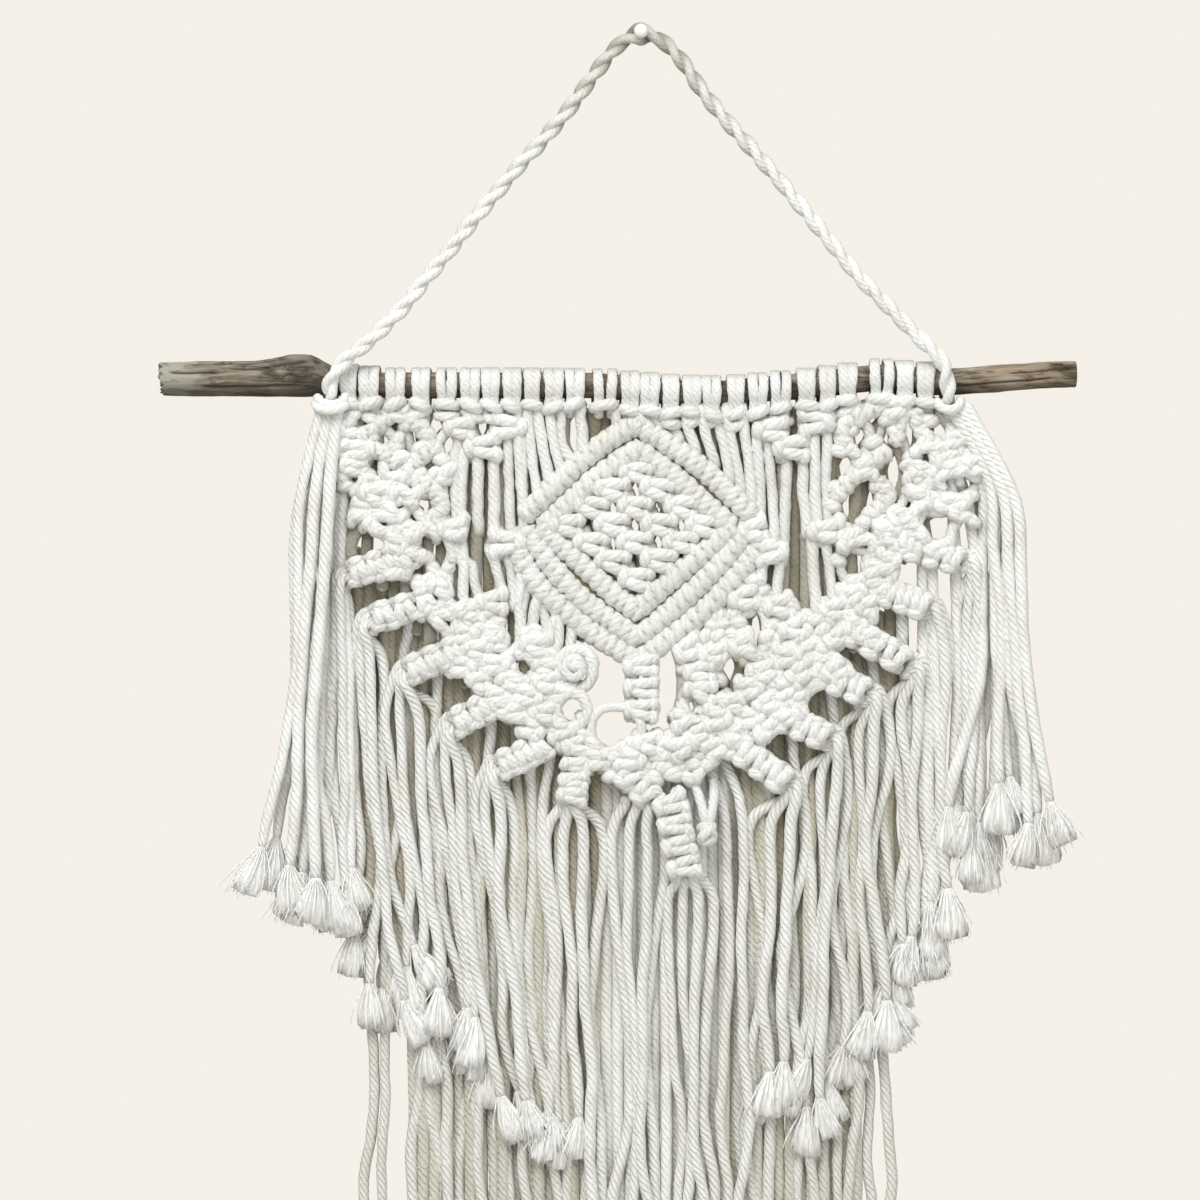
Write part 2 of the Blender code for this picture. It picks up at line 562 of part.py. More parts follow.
def build_panel(builder: Builder, spread: random.Random) -> None:
    """The knotted panel: wraps, bars, band, teeth and the strands between them."""
    bars = Tubes("knotted_panel", 4)
    header = tuple((x, branch_at(x).z - branch_at(x).radius - 3.6) for x in HEADS)
    bars.add_ridged(Bar(header, 3.3, KNOT_PITCH, PANEL_Y - 0.5))
    for bar in (*DIAMOND, *TEETH, *KNOTS):
        bars.add_ridged(bar._replace(y=bar.y + spread.uniform(-0.15, 0.15)))
    band = Tubes("panel_band", 6)
    for side in (BAND_LEFT, BAND_RIGHT):
        band.add_ridged(Bar(side, BAND_HALF_WIDTH, KNOT_PITCH))
    strands = Tubes("panel_strands", 3)
    for fan in PANEL_STRANDS:
        strands.add_fan(fan, spread)
    work = bmesh.new()
    work.from_mesh(bars.mesh())
    work.from_mesh(flattened(band.mesh(), BAND_FLATNESS))
    add_wraps(work)
    bmesh.ops.recalc_face_normals(work, faces=work.faces)
    mesh = bpy.data.meshes.new("knotted_panel")
    work.to_mesh(mesh)
    work.free()
    panel = builder.node("knotted_panel", mesh, builder.cotton)
    builder.fuse(panel, strands.mesh())


def build_fringe(
    builder: Builder, name: str, strip: Bar, fans: tuple, spread: random.Random
) -> None:
    """A fringe: its strands, fused at their roots to a narrow strip."""
    strands = Tubes(name, 3)
    for fan in fans:
        strands.add_fan(fan, spread)
    node = builder.node(name, strands.mesh(), builder.cotton)
    backing = Tubes(name + "_strip", 4)
    path = smooth_path([Vector((x, strip.y, z)) for x, z in strip.points], strip.pitch)
    backing.add(path, [strip.radius] * len(path))
    builder.fuse(node, backing.mesh())


def build() -> None:
    """Builds the wall hanging."""
    clear_scene()
    builder = Builder()
    spread = random.Random(5)
    build_branch(builder)
    build_peg(builder)
    build_hanging_cord(builder)
    build_panel(builder, spread)
    build_fringe(builder, "front_fringe", FRONT_STRIP, FRONT_FRINGE, spread)
    build_fringe(builder, "back_fringe", BACK_STRIP, BACK_FRINGE, spread)
    build_fringe(builder, "left_fringe", LEFT_STRIP, LEFT_FRINGE, spread)
    build_fringe(builder, "right_fringe", RIGHT_STRIP, RIGHT_FRINGE, spread)


build()
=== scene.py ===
"""A macrame wall hanging: cotton cord knotted over driftwood, hung from an enamelled peg.

The peg's wall face is the origin, the wall is the plane y = 0 and the hanging is in front
of it at -Y. Knots and strands are placed on a knotting chart of squares 0.36 mm wide,
counted right and down, with the peg at column 641, row 32. Depths are millimetres in
front of the wall.
"""

import logging
import math
import random
from collections.abc import Callable
from dataclasses import dataclass, field
from enum import Enum, IntEnum

import bpy
import numpy as np
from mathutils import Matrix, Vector, noise

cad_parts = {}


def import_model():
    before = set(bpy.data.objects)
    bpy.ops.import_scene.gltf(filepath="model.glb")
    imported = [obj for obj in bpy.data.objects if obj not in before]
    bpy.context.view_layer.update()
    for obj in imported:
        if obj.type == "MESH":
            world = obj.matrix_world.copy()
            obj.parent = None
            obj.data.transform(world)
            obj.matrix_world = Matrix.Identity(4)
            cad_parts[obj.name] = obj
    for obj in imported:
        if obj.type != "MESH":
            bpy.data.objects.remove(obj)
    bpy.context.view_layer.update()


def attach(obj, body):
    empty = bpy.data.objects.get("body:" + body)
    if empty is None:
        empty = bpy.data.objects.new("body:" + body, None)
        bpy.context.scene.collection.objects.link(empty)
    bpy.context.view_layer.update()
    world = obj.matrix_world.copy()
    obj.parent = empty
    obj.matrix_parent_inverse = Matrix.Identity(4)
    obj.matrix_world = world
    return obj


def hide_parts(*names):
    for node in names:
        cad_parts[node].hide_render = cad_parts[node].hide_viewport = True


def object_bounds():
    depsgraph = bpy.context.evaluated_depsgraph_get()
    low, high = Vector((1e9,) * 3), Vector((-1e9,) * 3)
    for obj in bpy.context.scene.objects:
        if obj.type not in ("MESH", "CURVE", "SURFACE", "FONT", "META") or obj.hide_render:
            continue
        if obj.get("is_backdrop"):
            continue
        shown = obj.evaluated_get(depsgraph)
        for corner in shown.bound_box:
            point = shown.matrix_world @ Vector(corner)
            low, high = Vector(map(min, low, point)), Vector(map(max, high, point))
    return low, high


LOG = logging.getLogger("hanging")
LUMP_SEEDS = 65521
MM = 0.001
SQUARE = 0.36
PEG_COLUMN, PEG_ROW = 641.0, 32.0
BODY = "root"

BRANCH_DEPTH = 12.0
PANEL_DEPTH = 15.0
FRONT_DEPTH = 9.8
BACK_DEPTH = 4.6


def place(column: float, row: float, depth: float = PANEL_DEPTH) -> np.ndarray:
    """A chart place as millimetres in the object's own axes."""
    return np.array(((column - PEG_COLUMN) * SQUARE, -depth, (PEG_ROW - row) * SQUARE))


def route(points: tuple, depth: float = PANEL_DEPTH) -> np.ndarray:
    """Chart places (column, row) or (column, row, depth) as rows of millimetres.

    Args:
        points: The places.
        depth: The depth of a place that names none.

    Returns:
        One row (x, y, z) for each place.
    """
    return np.array([place(*p[:2], p[2] if len(p) > 2 else depth) for p in points])


def partway(a: tuple, b: tuple, t: float) -> tuple:
    """The chart place that lies a share t of the way from a to b."""
    return a[0] + (b[0] - a[0]) * t, a[1] + (b[1] - a[1]) * t


def even(path: np.ndarray, step: float) -> np.ndarray:
    """The path as points about step apart, measured along it."""
    along = lengths(path)
    count = max(4, round(along[-1] / step) + 1)
    at = np.linspace(0.0, along[-1], count)
    return np.stack([np.interp(at, along, path[:, i]) for i in range(3)], axis=1)


def lengths(path: np.ndarray) -> np.ndarray:
    """The distance along the path to each of its points."""
    gaps = np.linalg.norm(np.diff(path, axis=0), axis=1)
    return np.concatenate([[0.0], np.cumsum(gaps)])


def smooth(points: np.ndarray, step: float) -> np.ndarray:
    """A smooth curve through the points.

    Args:
        points: The points to pass through.
        step: The distance between the points given back.

    Returns:
        Points along the curve.
    """
    p = np.asarray(points, float)
    ends = np.vstack([2 * p[0] - p[1], p, 2 * p[-1] - p[-2]])
    t = np.linspace(0.0, 1.0, 9)[:-1, None]
    spans = [
        0.5 * (2 * b + (c - a) * t + (2 * a - 5 * b + 4 * c - d) * t**2
               + (3 * b - a - 3 * c + d) * t**3)
        for a, b, c, d in zip(ends, ends[1:], ends[2:], ends[3:])
    ]  # fmt: skip
    return even(np.vstack([*spans, p[-1:]]), step)


def framed(path: np.ndarray) -> tuple:
    """Unit tangents, normals and binormals that turn as little as they can."""
    tangents = np.gradient(path, axis=0)
    tangents /= np.maximum(np.linalg.norm(tangents, axis=1, keepdims=True), 1e-9)
    normals = np.empty_like(tangents)
    last = np.zeros(3)
    last[np.argmin(np.abs(tangents[0]))] = 1.0
    for i, t in enumerate(tangents):
        last = last - last.dot(t) * t
        last /= math.sqrt(last.dot(last))
        normals[i] = last
    return tangents, normals, np.cross(tangents, normals)


def swollen(count: int, least: float) -> np.ndarray:
    """A short fold's thickness along it, least at its ends and fullest halfway."""
    return np.sin(np.linspace(0.0, math.pi, count)) * 0.34 + least


def spread_out(value: object, rings: int) -> np.ndarray:
    """One value, or one for each ring, made ready to meet every side of every ring."""
    made = np.asarray(value, float)
    return made if made.ndim == 2 else np.broadcast_to(made, rings)[:, None]


class Section(Enum):
    """How a cord's round is made: points around it, ring spacing in mm, unevenness."""

    STRAND = (10, 1.6, 0.035)
    KNOTTED = (9, 1.4, 0.07)
    PLAIN = (8, 2.4, 0.03)
    BEHIND = (7, 3.4, 0.03)
    BAR = (18, 0.95, 0.015)
    BRUSH = (24, 2.0, 0.0)
    FIBRE = (3, 2.2, 0.0)


@dataclass
class CordMesh:
    """Cords that gather in one mesh.

    Each point keeps its cord's tone, and how deep in the work's shade its front lies.
    """

    name: str
    shade_from: float = PANEL_DEPTH + 3.0
    shade_to: float = PANEL_DEPTH - 3.2
    shade_most: float = 0.92
    round_end: float = 0.5
    front_shade: float = 0.45
    shade_turn: float = 1.2
    points: list = field(default_factory=list)
    faces: list = field(default_factory=list)
    corners: list = field(default_factory=list)
    tones: list = field(default_factory=list)
    shades: list = field(default_factory=list)
    count: int = 0
    total: float = 0.0

    def add(
        self, path: np.ndarray, radius: object, section: Section, tone: float,
        deep: object = 0.0, press: Callable | None = None,
    ) -> None:  # fmt: skip
        """Adds one cord with rounded ends.

        Args:
            path: Its centreline, in millimetres.
            radius: One radius, or one for each point, or for each point and side.
            section: How its round is made.
            tone: How light or warm it is, from -1 to 1.
            deep: Shade that its front has, from 0 to 1, given in the same ways.
            press: What moves the skin's points where the cord is pulled tight.
        """
        sides, _, rough = section.value
        rings = len(path)
        radii = spread_out(radius, rings)
        along = lengths(path)
        self.total += along[-1]
        tangents, normals, sideways = framed(path)
        around = np.arange(sides) / sides
        angle = 2 * math.pi * around
        spokes = (
            np.cos(angle)[None, :, None] * normals[:, None]
            + np.sin(angle)[None, :, None] * sideways[:, None]
        )
        reach = 1.0 + self.lumps(rings, sides) * rough
        ring = path[:, None] + spokes * (radii * reach)[..., None]
        if press:
            ring = press(ring)
        tips = np.stack(
            [
                path[0] - tangents[0] * radii[0].mean() * self.round_end,
                path[-1] + tangents[-1] * radii[-1].mean() * self.round_end,
            ]
        )
        first = self.count
        self.points += [ring.reshape(-1, 3), tips]
        self.tones.append(np.full(rings * sides + 2, tone))
        depth = (-ring[..., 1] - self.shade_from) / (self.shade_to - self.shade_from)
        least = spread_out(deep, rings)
        shade = np.maximum(np.clip(depth, 0.0, 1.0) * self.shade_most, least)
        shade *= np.clip(self.front_shade - spokes[..., 1] * self.shade_turn, 0.0, 1.0)
        self.shades.append(np.concatenate([shade.ravel(), [0.0, 0.0]]))
        i, k = np.meshgrid(np.arange(rings - 1), np.arange(sides), indexing="ij")
        after = (k + 1) % sides
        quads = np.stack(
            [i * sides + k, i * sides + after, (i + 1) * sides + after, (i + 1) * sides + k], -1
        ).reshape(-1, 4)
        left, right = k / sides, (k + 1) / sides
        uv = np.stack(
            [
                np.stack([left, along[i]], -1), np.stack([right, along[i]], -1),
                np.stack([right, along[i + 1]], -1), np.stack([left, along[i + 1]], -1),
            ],
            2,
        ).reshape(-1, 2)  # fmt: skip
        self.faces.append((quads + first, 4))
        self.corners.append(uv)
        ends = rings * sides
        k = np.arange(sides)
        after = (k + 1) % sides
        low = np.stack([after, k, np.full(sides, ends)], -1)
        high = np.stack([k, after, np.full(sides, ends + 1)], -1) + np.array(
            [(rings - 1) * sides, (rings - 1) * sides, 0]
        )
        self.faces.append((np.vstack([low, high]) + first, 3))
        self.corners.append(np.tile([[0.0, along[0]]], (sides * 6, 1)))
        self.count += rings * sides + 2

    def lumps(self, rings: int, sides: int) -> np.ndarray:
        """Soft unevenness over a cord's skin, about -1 to 1."""
        dice = np.random.RandomState(self.count % LUMP_SEEDS)
        made = dice.normal(size=(rings, sides))
        made += 0.6 * (np.roll(made, 1, 1) + np.roll(made, -1, 1))
        made[1:-1] += 0.5 * (made[:-2] + made[2:])
        return np.clip(made * 0.55, -1.6, 1.6)

    def build(self, finish: bpy.types.Material) -> bpy.types.Object:
        """The gathered cords as one object, in metres.

        Args:
            finish: Its material.

        Returns:
            The new object.
        """
        mesh = bpy.data.meshes.new(self.name)
        points = np.vstack(self.points) * MM
        sizes = np.concatenate([np.full(len(f), n) for f, n in self.faces])
        corners = np.concatenate([f.ravel() for f, _ in self.faces])
        mesh.vertices.add(len(points))
        mesh.vertices.foreach_set("co", points.astype(np.float32).ravel())
        mesh.loops.add(len(corners))
        mesh.loops.foreach_set("vertex_index", corners.astype(np.int32))
        mesh.polygons.add(len(sizes))
        starts = np.concatenate([[0], np.cumsum(sizes)[:-1]])
        mesh.polygons.foreach_set("loop_start", starts.astype(np.int32))
        mesh.update(calc_edges=True)
        mesh.validate()
        flat = mesh.uv_layers.new(name="lay")
        flat.data.foreach_set("uv", np.vstack(self.corners).astype(np.float32).ravel())
        for name, values in (("tone", self.tones), ("shade", self.shades)):
            kept = mesh.attributes.new(name, "FLOAT", "POINT")
            kept.data.foreach_set("value", np.concatenate(values).astype(np.float32))
        mesh.shade_smooth()
        mesh.materials.append(finish)
        made = bpy.data.objects.new(self.name, mesh)
        bpy.context.scene.collection.objects.link(made)
        return made


class Seed(IntEnum):
    """What starts each part's small moves."""

    HEADS = 3
    BARS = 4
    NET = 5
    NET_PLACES = 6
    LEFT_BAND = 7
    RIGHT_BAND = 8
    UPPER = 9
    TEETH = 11
    STRANDS = 12
    TRIMS = 13
    REAR = 14
    CORNERS = 15
    FRONT = 21
    BACK = 22
    LEFT = 23
    RIGHT = 24
    REAR_FRINGE = 25
    CENTRE = 26
    HANGER = 31


@dataclass
class Hand:
    """The maker's hand: small uneven moves, the same on each run."""

    seed: int
    dice: random.Random = field(init=False)

    def __post_init__(self) -> None:
        """Starts the dice."""
        self.dice = random.Random(self.seed)

    def slip(self, most: float) -> float:
        """A move of up to most either way."""
        return self.dice.uniform(-most, most)

    def tone(self) -> float:
        """A cord's own lightness."""
        return self.dice.uniform(-1.0, 1.0)

    def drift(self, count: int, most: float, waves: float) -> np.ndarray:
        """A slow wander along a strand, one value a point."""
        t = np.linspace(0.0, 1.0, count)
        made = np.zeros(count)
        for k in (1.0, 1.9, 3.1):
            made += np.sin(2 * math.pi * (waves * k * t + self.dice.random())) / k
        return made * most / 1.8


# ---------------------------------------------------------------- finishes


def operator(operation: str, swapped: bool = False) -> Callable:
    """What Python calls for a sum of wires: it adds a Math node.

    Args:
        operation: The node's operation.
        swapped: Whether the wire comes second.

    Returns:
        The method.
    """

    def work(self: "Wire", *others: object) -> "Wire":
        """Adds the node."""
        values = (*others, self) if swapped else (self, *others)
        return self.graph.maths(operation, *values)

    return work


@dataclass(frozen=True)
class Wire:
    """A value in a material, which takes part in sums."""

    graph: "Graph"
    socket: bpy.types.NodeSocket

    __add__ = operator("ADD")
    __radd__ = operator("ADD", True)
    __sub__ = operator("SUBTRACT")
    __rsub__ = operator("SUBTRACT", True)
    __mul__ = operator("MULTIPLY")
    __truediv__ = operator("DIVIDE")
    __abs__ = operator("ABSOLUTE")


@dataclass(frozen=True)
class Graph:
    """A material's nodes."""

    tree: bpy.types.NodeTree

    def node(
        self, kind: str, settings: dict | None = None, inputs: dict | None = None
    ) -> bpy.types.Node:
        """Makes a node.

        Args:
            kind: Its Blender type.
            settings: Its own properties.
            inputs: Values or wires for its sockets, by name or number.

        Returns:
            The node.
        """
        made = self.tree.nodes.new(kind)
        for name, value in (settings or {}).items():
            setattr(made, name, value)
        self.feed(made, inputs or {})
        return made

    def feed(self, node: bpy.types.Node, inputs: dict) -> None:
        """Sets a node's sockets.

        Args:
            node: The node.
            inputs: Values or wires for its sockets, by name or number.
        """
        for key, value in inputs.items():
            if isinstance(value, Wire):
                self.tree.links.new(value.socket, node.inputs[key])
            else:
                node.inputs[key].default_value = value

    def wire(
        self, kind: str, settings: dict | None = None, inputs: dict | None = None,
        output: object = 0,
    ) -> Wire:  # fmt: skip
        """A new node's output, by name or number."""
        return Wire(self, self.node(kind, settings, inputs).outputs[output])

    def maths(self, operation: str, *values: object) -> Wire:
        """A Math node's result."""
        return self.wire("ShaderNodeMath", {"operation": operation}, dict(enumerate(values)))

    def between(self, value: Wire, low: float, high: float) -> Wire:
        """A smooth step from 0 at low to 1 at high."""
        return self.wire(
            "ShaderNodeMapRange", {"interpolation_type": "SMOOTHSTEP"},
            {0: value, 1: low, 2: high, 3: 0.0, 4: 1.0},
        )  # fmt: skip

    def blend(self, share: object, a: object, b: object, mode: str = "MIX") -> Wire:
        """Two colours mixed."""
        return self.wire(
            "ShaderNodeMix", {"data_type": "RGBA", "blend_type": mode},
            {0: share, 6: full(a), 7: full(b)}, 2,
        )  # fmt: skip

    def vector(self, x: object, y: object, z: object) -> Wire:
        """Three values as a vector."""
        return self.wire("ShaderNodeCombineXYZ", None, {0: x, 1: y, 2: z})

    def noise(self, vector: Wire, scale: float, detail: float, rough: float = 0.5) -> Wire:
        """Cloudy noise around a half."""
        return self.wire(
            "ShaderNodeTexNoise", None,
            {"Vector": vector, "Scale": scale, "Detail": detail, "Roughness": rough},
        )  # fmt: skip

    def split(self, vector: Wire) -> tuple:
        """A vector's three parts."""
        made = self.node("ShaderNodeSeparateXYZ", None, {0: vector})
        return tuple(Wire(self, made.outputs[i]) for i in range(3))

    def here(self) -> Wire:
        """The place on the object, in metres."""
        return self.wire("ShaderNodeTexCoord", output="Object")

    def named(self, name: str) -> Wire:
        """A value that the mesh keeps at each point."""
        return self.wire("ShaderNodeAttribute", {"attribute_name": name}, output="Fac")

    def bump(self, height: Wire, distance: float, strength: float) -> Wire:
        """Relief of that many metres."""
        return self.wire(
            "ShaderNodeBump", None, {"Height": height, "Distance": distance, "Strength": strength}
        )


def full(colour: object) -> object:
    """A colour with its alpha, or the wire as it is."""
    return colour if isinstance(colour, Wire) else (*colour, 1.0)


def blank(name: str) -> tuple:
    """A new material.

    Args:
        name: Its name.

    Returns:
        The material, its graph and its shader node.
    """
    made = bpy.data.materials.new(name)
    made.use_nodes = True
    graph = Graph(made.node_tree)
    return made, graph, made.node_tree.nodes["Principled BSDF"]


@dataclass(frozen=True)
class Cotton:
    """Soft twisted cotton cord, off white, with its yarns' slant showing."""

    name: str
    yarn: float
    fuzz: float
    light: tuple = (0.915, 0.920, 0.888)
    warm: tuple = (0.815, 0.805, 0.725)
    # Painted shade colours: groove between the yarns, fold in the fuzz's low spots and for light
    # depth shade, shadow for the deepest places.
    groove: tuple = (0.52, 0.50, 0.41)
    fold: tuple = (0.56, 0.56, 0.50)
    shadow: tuple = (0.225, 0.190, 0.112)
    soft: float = 0.60
    yarns: int = 5
    pitch: float = 13.5

    def material(self) -> bpy.types.Material:
        """The yarns' relief, their fibres, the cord's uneven tone and its painted shade."""
        made, g, shader = blank(self.name)
        lay = g.wire("ShaderNodeUVMap", {"uv_map": "lay"})
        tone = g.named("tone")
        shade = g.named("shade")
        u, s, _ = g.split(lay)
        turn = u + s / self.pitch
        spot = g.vector(s * 1.1, tone * 90.0, 0.0)
        sway = g.noise(spot, 0.35, 2.0) - 0.5
        phase = g.maths("FRACT", turn * float(self.yarns) + sway * 0.8)
        ridge = 1.0 - abs(phase * 2.0 - 1.0)
        # Painted shade in the grooves between the yarns, laid on below in the groove colour.
        yarn_crease_shade = 1.0 - g.between(ridge, 0.0, self.soft)
        ply = 1.0 - g.maths("POWER", 1.0 - ridge, 2.0)
        angle = turn * (2.0 * math.pi)
        east, north = g.maths("COSINE", angle), g.maths("SINE", angle)
        fibres = g.noise(
            g.vector(east * 6.5, north * 6.5, s * 0.55 + tone * 60.0), 1.0, 3.0, 0.6
        )
        fluff = g.noise(g.here(), 820.0, 3.0, 0.66)
        down = g.noise(g.here(), 2100.0, 2.0)
        clouds = g.noise(g.here(), 60.0, 2.0)
        height = ply * self.yarn + fibres * 0.40 + fluff * self.fuzz + down * (self.fuzz * 0.3)
        worn = g.between(clouds * 0.6 + fluff * 0.4 + tone * 0.07, 0.42, 0.66)
        colour = g.blend(worn * 0.60, self.light, self.warm)
        yarn_crease_shade = yarn_crease_shade * g.between(fluff * 0.6 + clouds * 0.4, 0.36, 0.60)
        colour = g.blend(yarn_crease_shade * (0.22 + self.yarn * 0.45), colour, self.groove)
        # Painted shade in the low spots of the fuzz's relief, in the fold colour.
        fuzz_pit_shade = 1.0 - g.between(fluff * 0.7 + down * 0.3, 0.34, 0.50)
        colour = g.blend(fuzz_pit_shade * (0.20 + self.fuzz * 0.25), colour, self.fold)
        colour = g.blend(g.between(fibres, 0.52, 0.72) * 0.30, colour, (0.94, 0.95, 0.93))
        # Painted shade from the shade attribute, broken up by the fuzz: light in the fold colour,
        # then deep in the shadow colour.
        rough = shade + (fluff - 0.5) * 0.25 * g.between(shade, 0.02, 0.3)
        colour = g.blend(g.between(rough, 0.0, 0.62) * 0.80, colour, self.fold)
        colour = g.blend(g.between(rough, 0.30, 1.0), colour, self.shadow)
        g.feed(shader, {
            "Base Color": colour, "Normal": g.bump(height, 0.0009, 0.85), "Roughness": 0.92,
            "Specular IOR Level": 0.15, "Sheen Weight": 0.15, "Sheen Roughness": 0.6,
        })  # fmt: skip
        made.diffuse_color = (*self.light, 1.0)
        return made


@dataclass(frozen=True)
class Fluff:
    """Combed cotton fibre at the cut ends."""

    name: str = "cotton_fluff"
    light: tuple = (0.975, 0.975, 0.955)
    deep: tuple = (0.80, 0.79, 0.73)

    def material(self) -> bpy.types.Material:
        """Pale fibre with small changes from one to the next."""
        made, g, shader = blank(self.name)
        tone = g.named("tone")
        x, y, z = g.split(g.here())
        streaks = g.noise(g.vector(x * 1500.0, y * 1500.0, z * 170.0), 1.0, 2.0)
        colour = g.blend(g.between(tone * 0.08 + streaks, 0.46, 0.66), self.light, self.deep)
        colour = g.blend(g.named("shade") * 0.5, colour, (0.42, 0.365, 0.255))
        g.feed(shader, {
            "Base Color": colour, "Normal": g.bump(streaks, 0.0006, 0.8), "Roughness": 0.9,
            "Specular IOR Level": 0.15, "Sheen Weight": 0.2,
        })  # fmt: skip
        made.diffuse_color = (*self.light, 1.0)
        return made


@dataclass(frozen=True)
class Driftwood:
    """Weathered wood: silver-brown, long grain, checks, painted shade in hollows and underneath."""

    name: str = "driftwood_grain"
    pale: tuple = (0.40, 0.355, 0.275)
    brown: tuple = (0.190, 0.150, 0.105)
    dark: tuple = (0.050, 0.041, 0.028)
    tan: tuple = (0.33, 0.245, 0.155)
    lichen: tuple = (0.52, 0.50, 0.42)

    def material(self) -> bpy.types.Material:
        """The grain, checks and colours along the branch, with painted shade and light."""
        made, g, shader = blank(self.name)
        x, y, z = g.split(g.here())
        bend = g.noise(g.vector(x * 14.0, y * 60.0, z * 60.0), 1.0, 2.0)
        grain = g.noise(
            g.vector(x * 48.0, y * 700.0 + bend * 9.0, z * 700.0 + bend * 9.0), 1.0, 5.0, 0.68
        )
        line = g.noise(g.vector(x * 20.0, y * 330.0 + bend * 9.0, z * 330.0), 1.0, 3.0, 0.5)
        patch = g.noise(g.vector(x * 52.0 + z * 60.0, y * 90.0, z * 130.0), 1.0, 4.0, 0.62)
        moss = g.noise(g.vector(x * 40.0, y * 80.0, z * 150.0 + 7.0), 1.0, 3.0, 0.6)
        fleck = g.noise(g.vector(x * 190.0, y * 520.0, z * 520.0), 1.0, 3.0)
        check = 1.0 - g.between(abs(line - 0.5), 0.0, 0.016)
        check = check * g.between(patch, 0.40, 0.58)
        colour = g.blend(g.between(grain, 0.36, 0.64), self.brown, self.pale)
        colour = g.blend(g.between(x, 0.09, 0.13) * 0.50, colour, self.tan)
        colour = g.blend(g.between(patch, 0.48, 0.64) * 0.85, colour, self.dark)
        # Pale lichen by noise, more towards the left end; its increase towards the branch's top is
        # painted light.
        left = 1.0 - g.between(x, -0.172, -0.142)
        pale = g.between(moss + left * 0.22 + (z + 0.124) * 9.0, 0.58, 0.70)
        colour = g.blend(pale * (0.35 + left * 0.5), colour, self.lichen)
        colour = g.blend(g.between(fleck, 0.56, 0.70) * 0.55, colour, self.dark)
        colour = g.blend(g.between(grain, 0.60, 0.74) * 0.30, colour, self.lichen)
        knob = g.between(x, -0.132, -0.120) * (1.0 - g.between(x, -0.108, -0.100))
        colour = g.blend(knob * 0.40, colour, self.dark)
        west = 1.0 - g.between(x, -0.105, -0.090)
        colour = g.blend(west * 0.26, colour, self.dark)
        # Painted shade along the branch's underside.
        under = 1.0 - g.between(z, -0.1310, -0.1235)
        colour = g.blend(under * 0.62, colour, self.dark)
        # Painted shade in the checks and the knot's eye, where the carving presses the skin in.
        hollow = g.named("hollow")
        colour = g.blend(g.between(hollow, 0.15, 0.85) * 0.85, colour, self.dark)
        colour = g.blend(check * 0.75, colour, self.dark)
        height = grain * 0.55 - check * 0.6 + patch * 0.35 + fleck * 0.3
        g.feed(shader, {
            "Base Color": colour, "Normal": g.bump(height, 0.0006, 1.0),
            "Roughness": 0.78 + grain * 0.18, "Specular IOR Level": 0.25,
        })  # fmt: skip
        made.diffuse_color = (*self.brown, 1.0)
        return made


@dataclass(frozen=True)
class Enamel:
    """White enamel paint on a turned peg."""

    name: str = "enamel_white"
    white: tuple = (0.84, 0.84, 0.815)
    dull: tuple = (0.66, 0.64, 0.59)

    def material(self) -> bpy.types.Material:
        """Glossy paint with faint unevenness."""
        made, g, shader = blank(self.name)
        speck = g.noise(g.here(), 900.0, 3.0)
        wash = g.noise(g.here(), 240.0, 2.0)
        colour = g.blend(g.between(wash, 0.45, 0.7) * 0.35, self.white, self.dull)
        g.feed(shader, {
            "Base Color": colour, "Roughness": 0.24 + wash * 0.22,
            "Normal": g.bump(speck, 0.00005, 0.5),
        })  # fmt: skip
        made.diffuse_color = (*self.white, 1.0)
        return made


# ---------------------------------------------------------------- knots and cords


@dataclass(frozen=True)
class Gap:
    """An opening that the cords part around."""

    column: float
    row: float
    wide: float
    tall: float


# column, row, wide, tall
GAPS = tuple(Gap(*row) for row in (
    (384, 438, 5, 6), (410, 440, 4, 8), (436, 430, 5, 8), (449, 443, 5, 4), (482, 425, 3, 4),
    (424, 505, 4, 6), (416, 518, 4, 4), (371, 550, 11, 12), (441, 555, 5, 11), (572, 434, 4, 13),
    (340, 512, 5, 12), (572, 709, 8, 10), (838, 415, 4, 4), (873, 421, 3, 3), (860, 437, 3, 6),
    (885, 437, 3, 7), (873, 453, 3, 4), (845, 468, 5, 8), (893, 472, 4, 9), (848, 503, 4, 8),
    (867, 505, 4, 9), (854, 563, 6, 9), (910, 432, 4, 14), (938, 430, 7, 7), (955, 485, 15, 6),
    (938, 528, 13, 9), (968, 535, 10, 8), (915, 580, 14, 18), (947, 590, 7, 17),
    (888, 617, 9, 12), (691, 705, 4, 7), (728, 667, 5, 5), (523, 668, 4, 6), (666, 680, 7, 24),
    (606, 696, 15, 38), (757, 632, 3, 14), (512, 632, 4, 16), (614, 510, 3, 3), (657, 507, 2, 2),
    (634, 526, 3, 3), (680, 524, 3, 3), (611, 545, 3, 4), (658, 542, 3, 3), (636, 491, 3, 3),
    (614, 725, 16, 10),
))  # fmt: skip


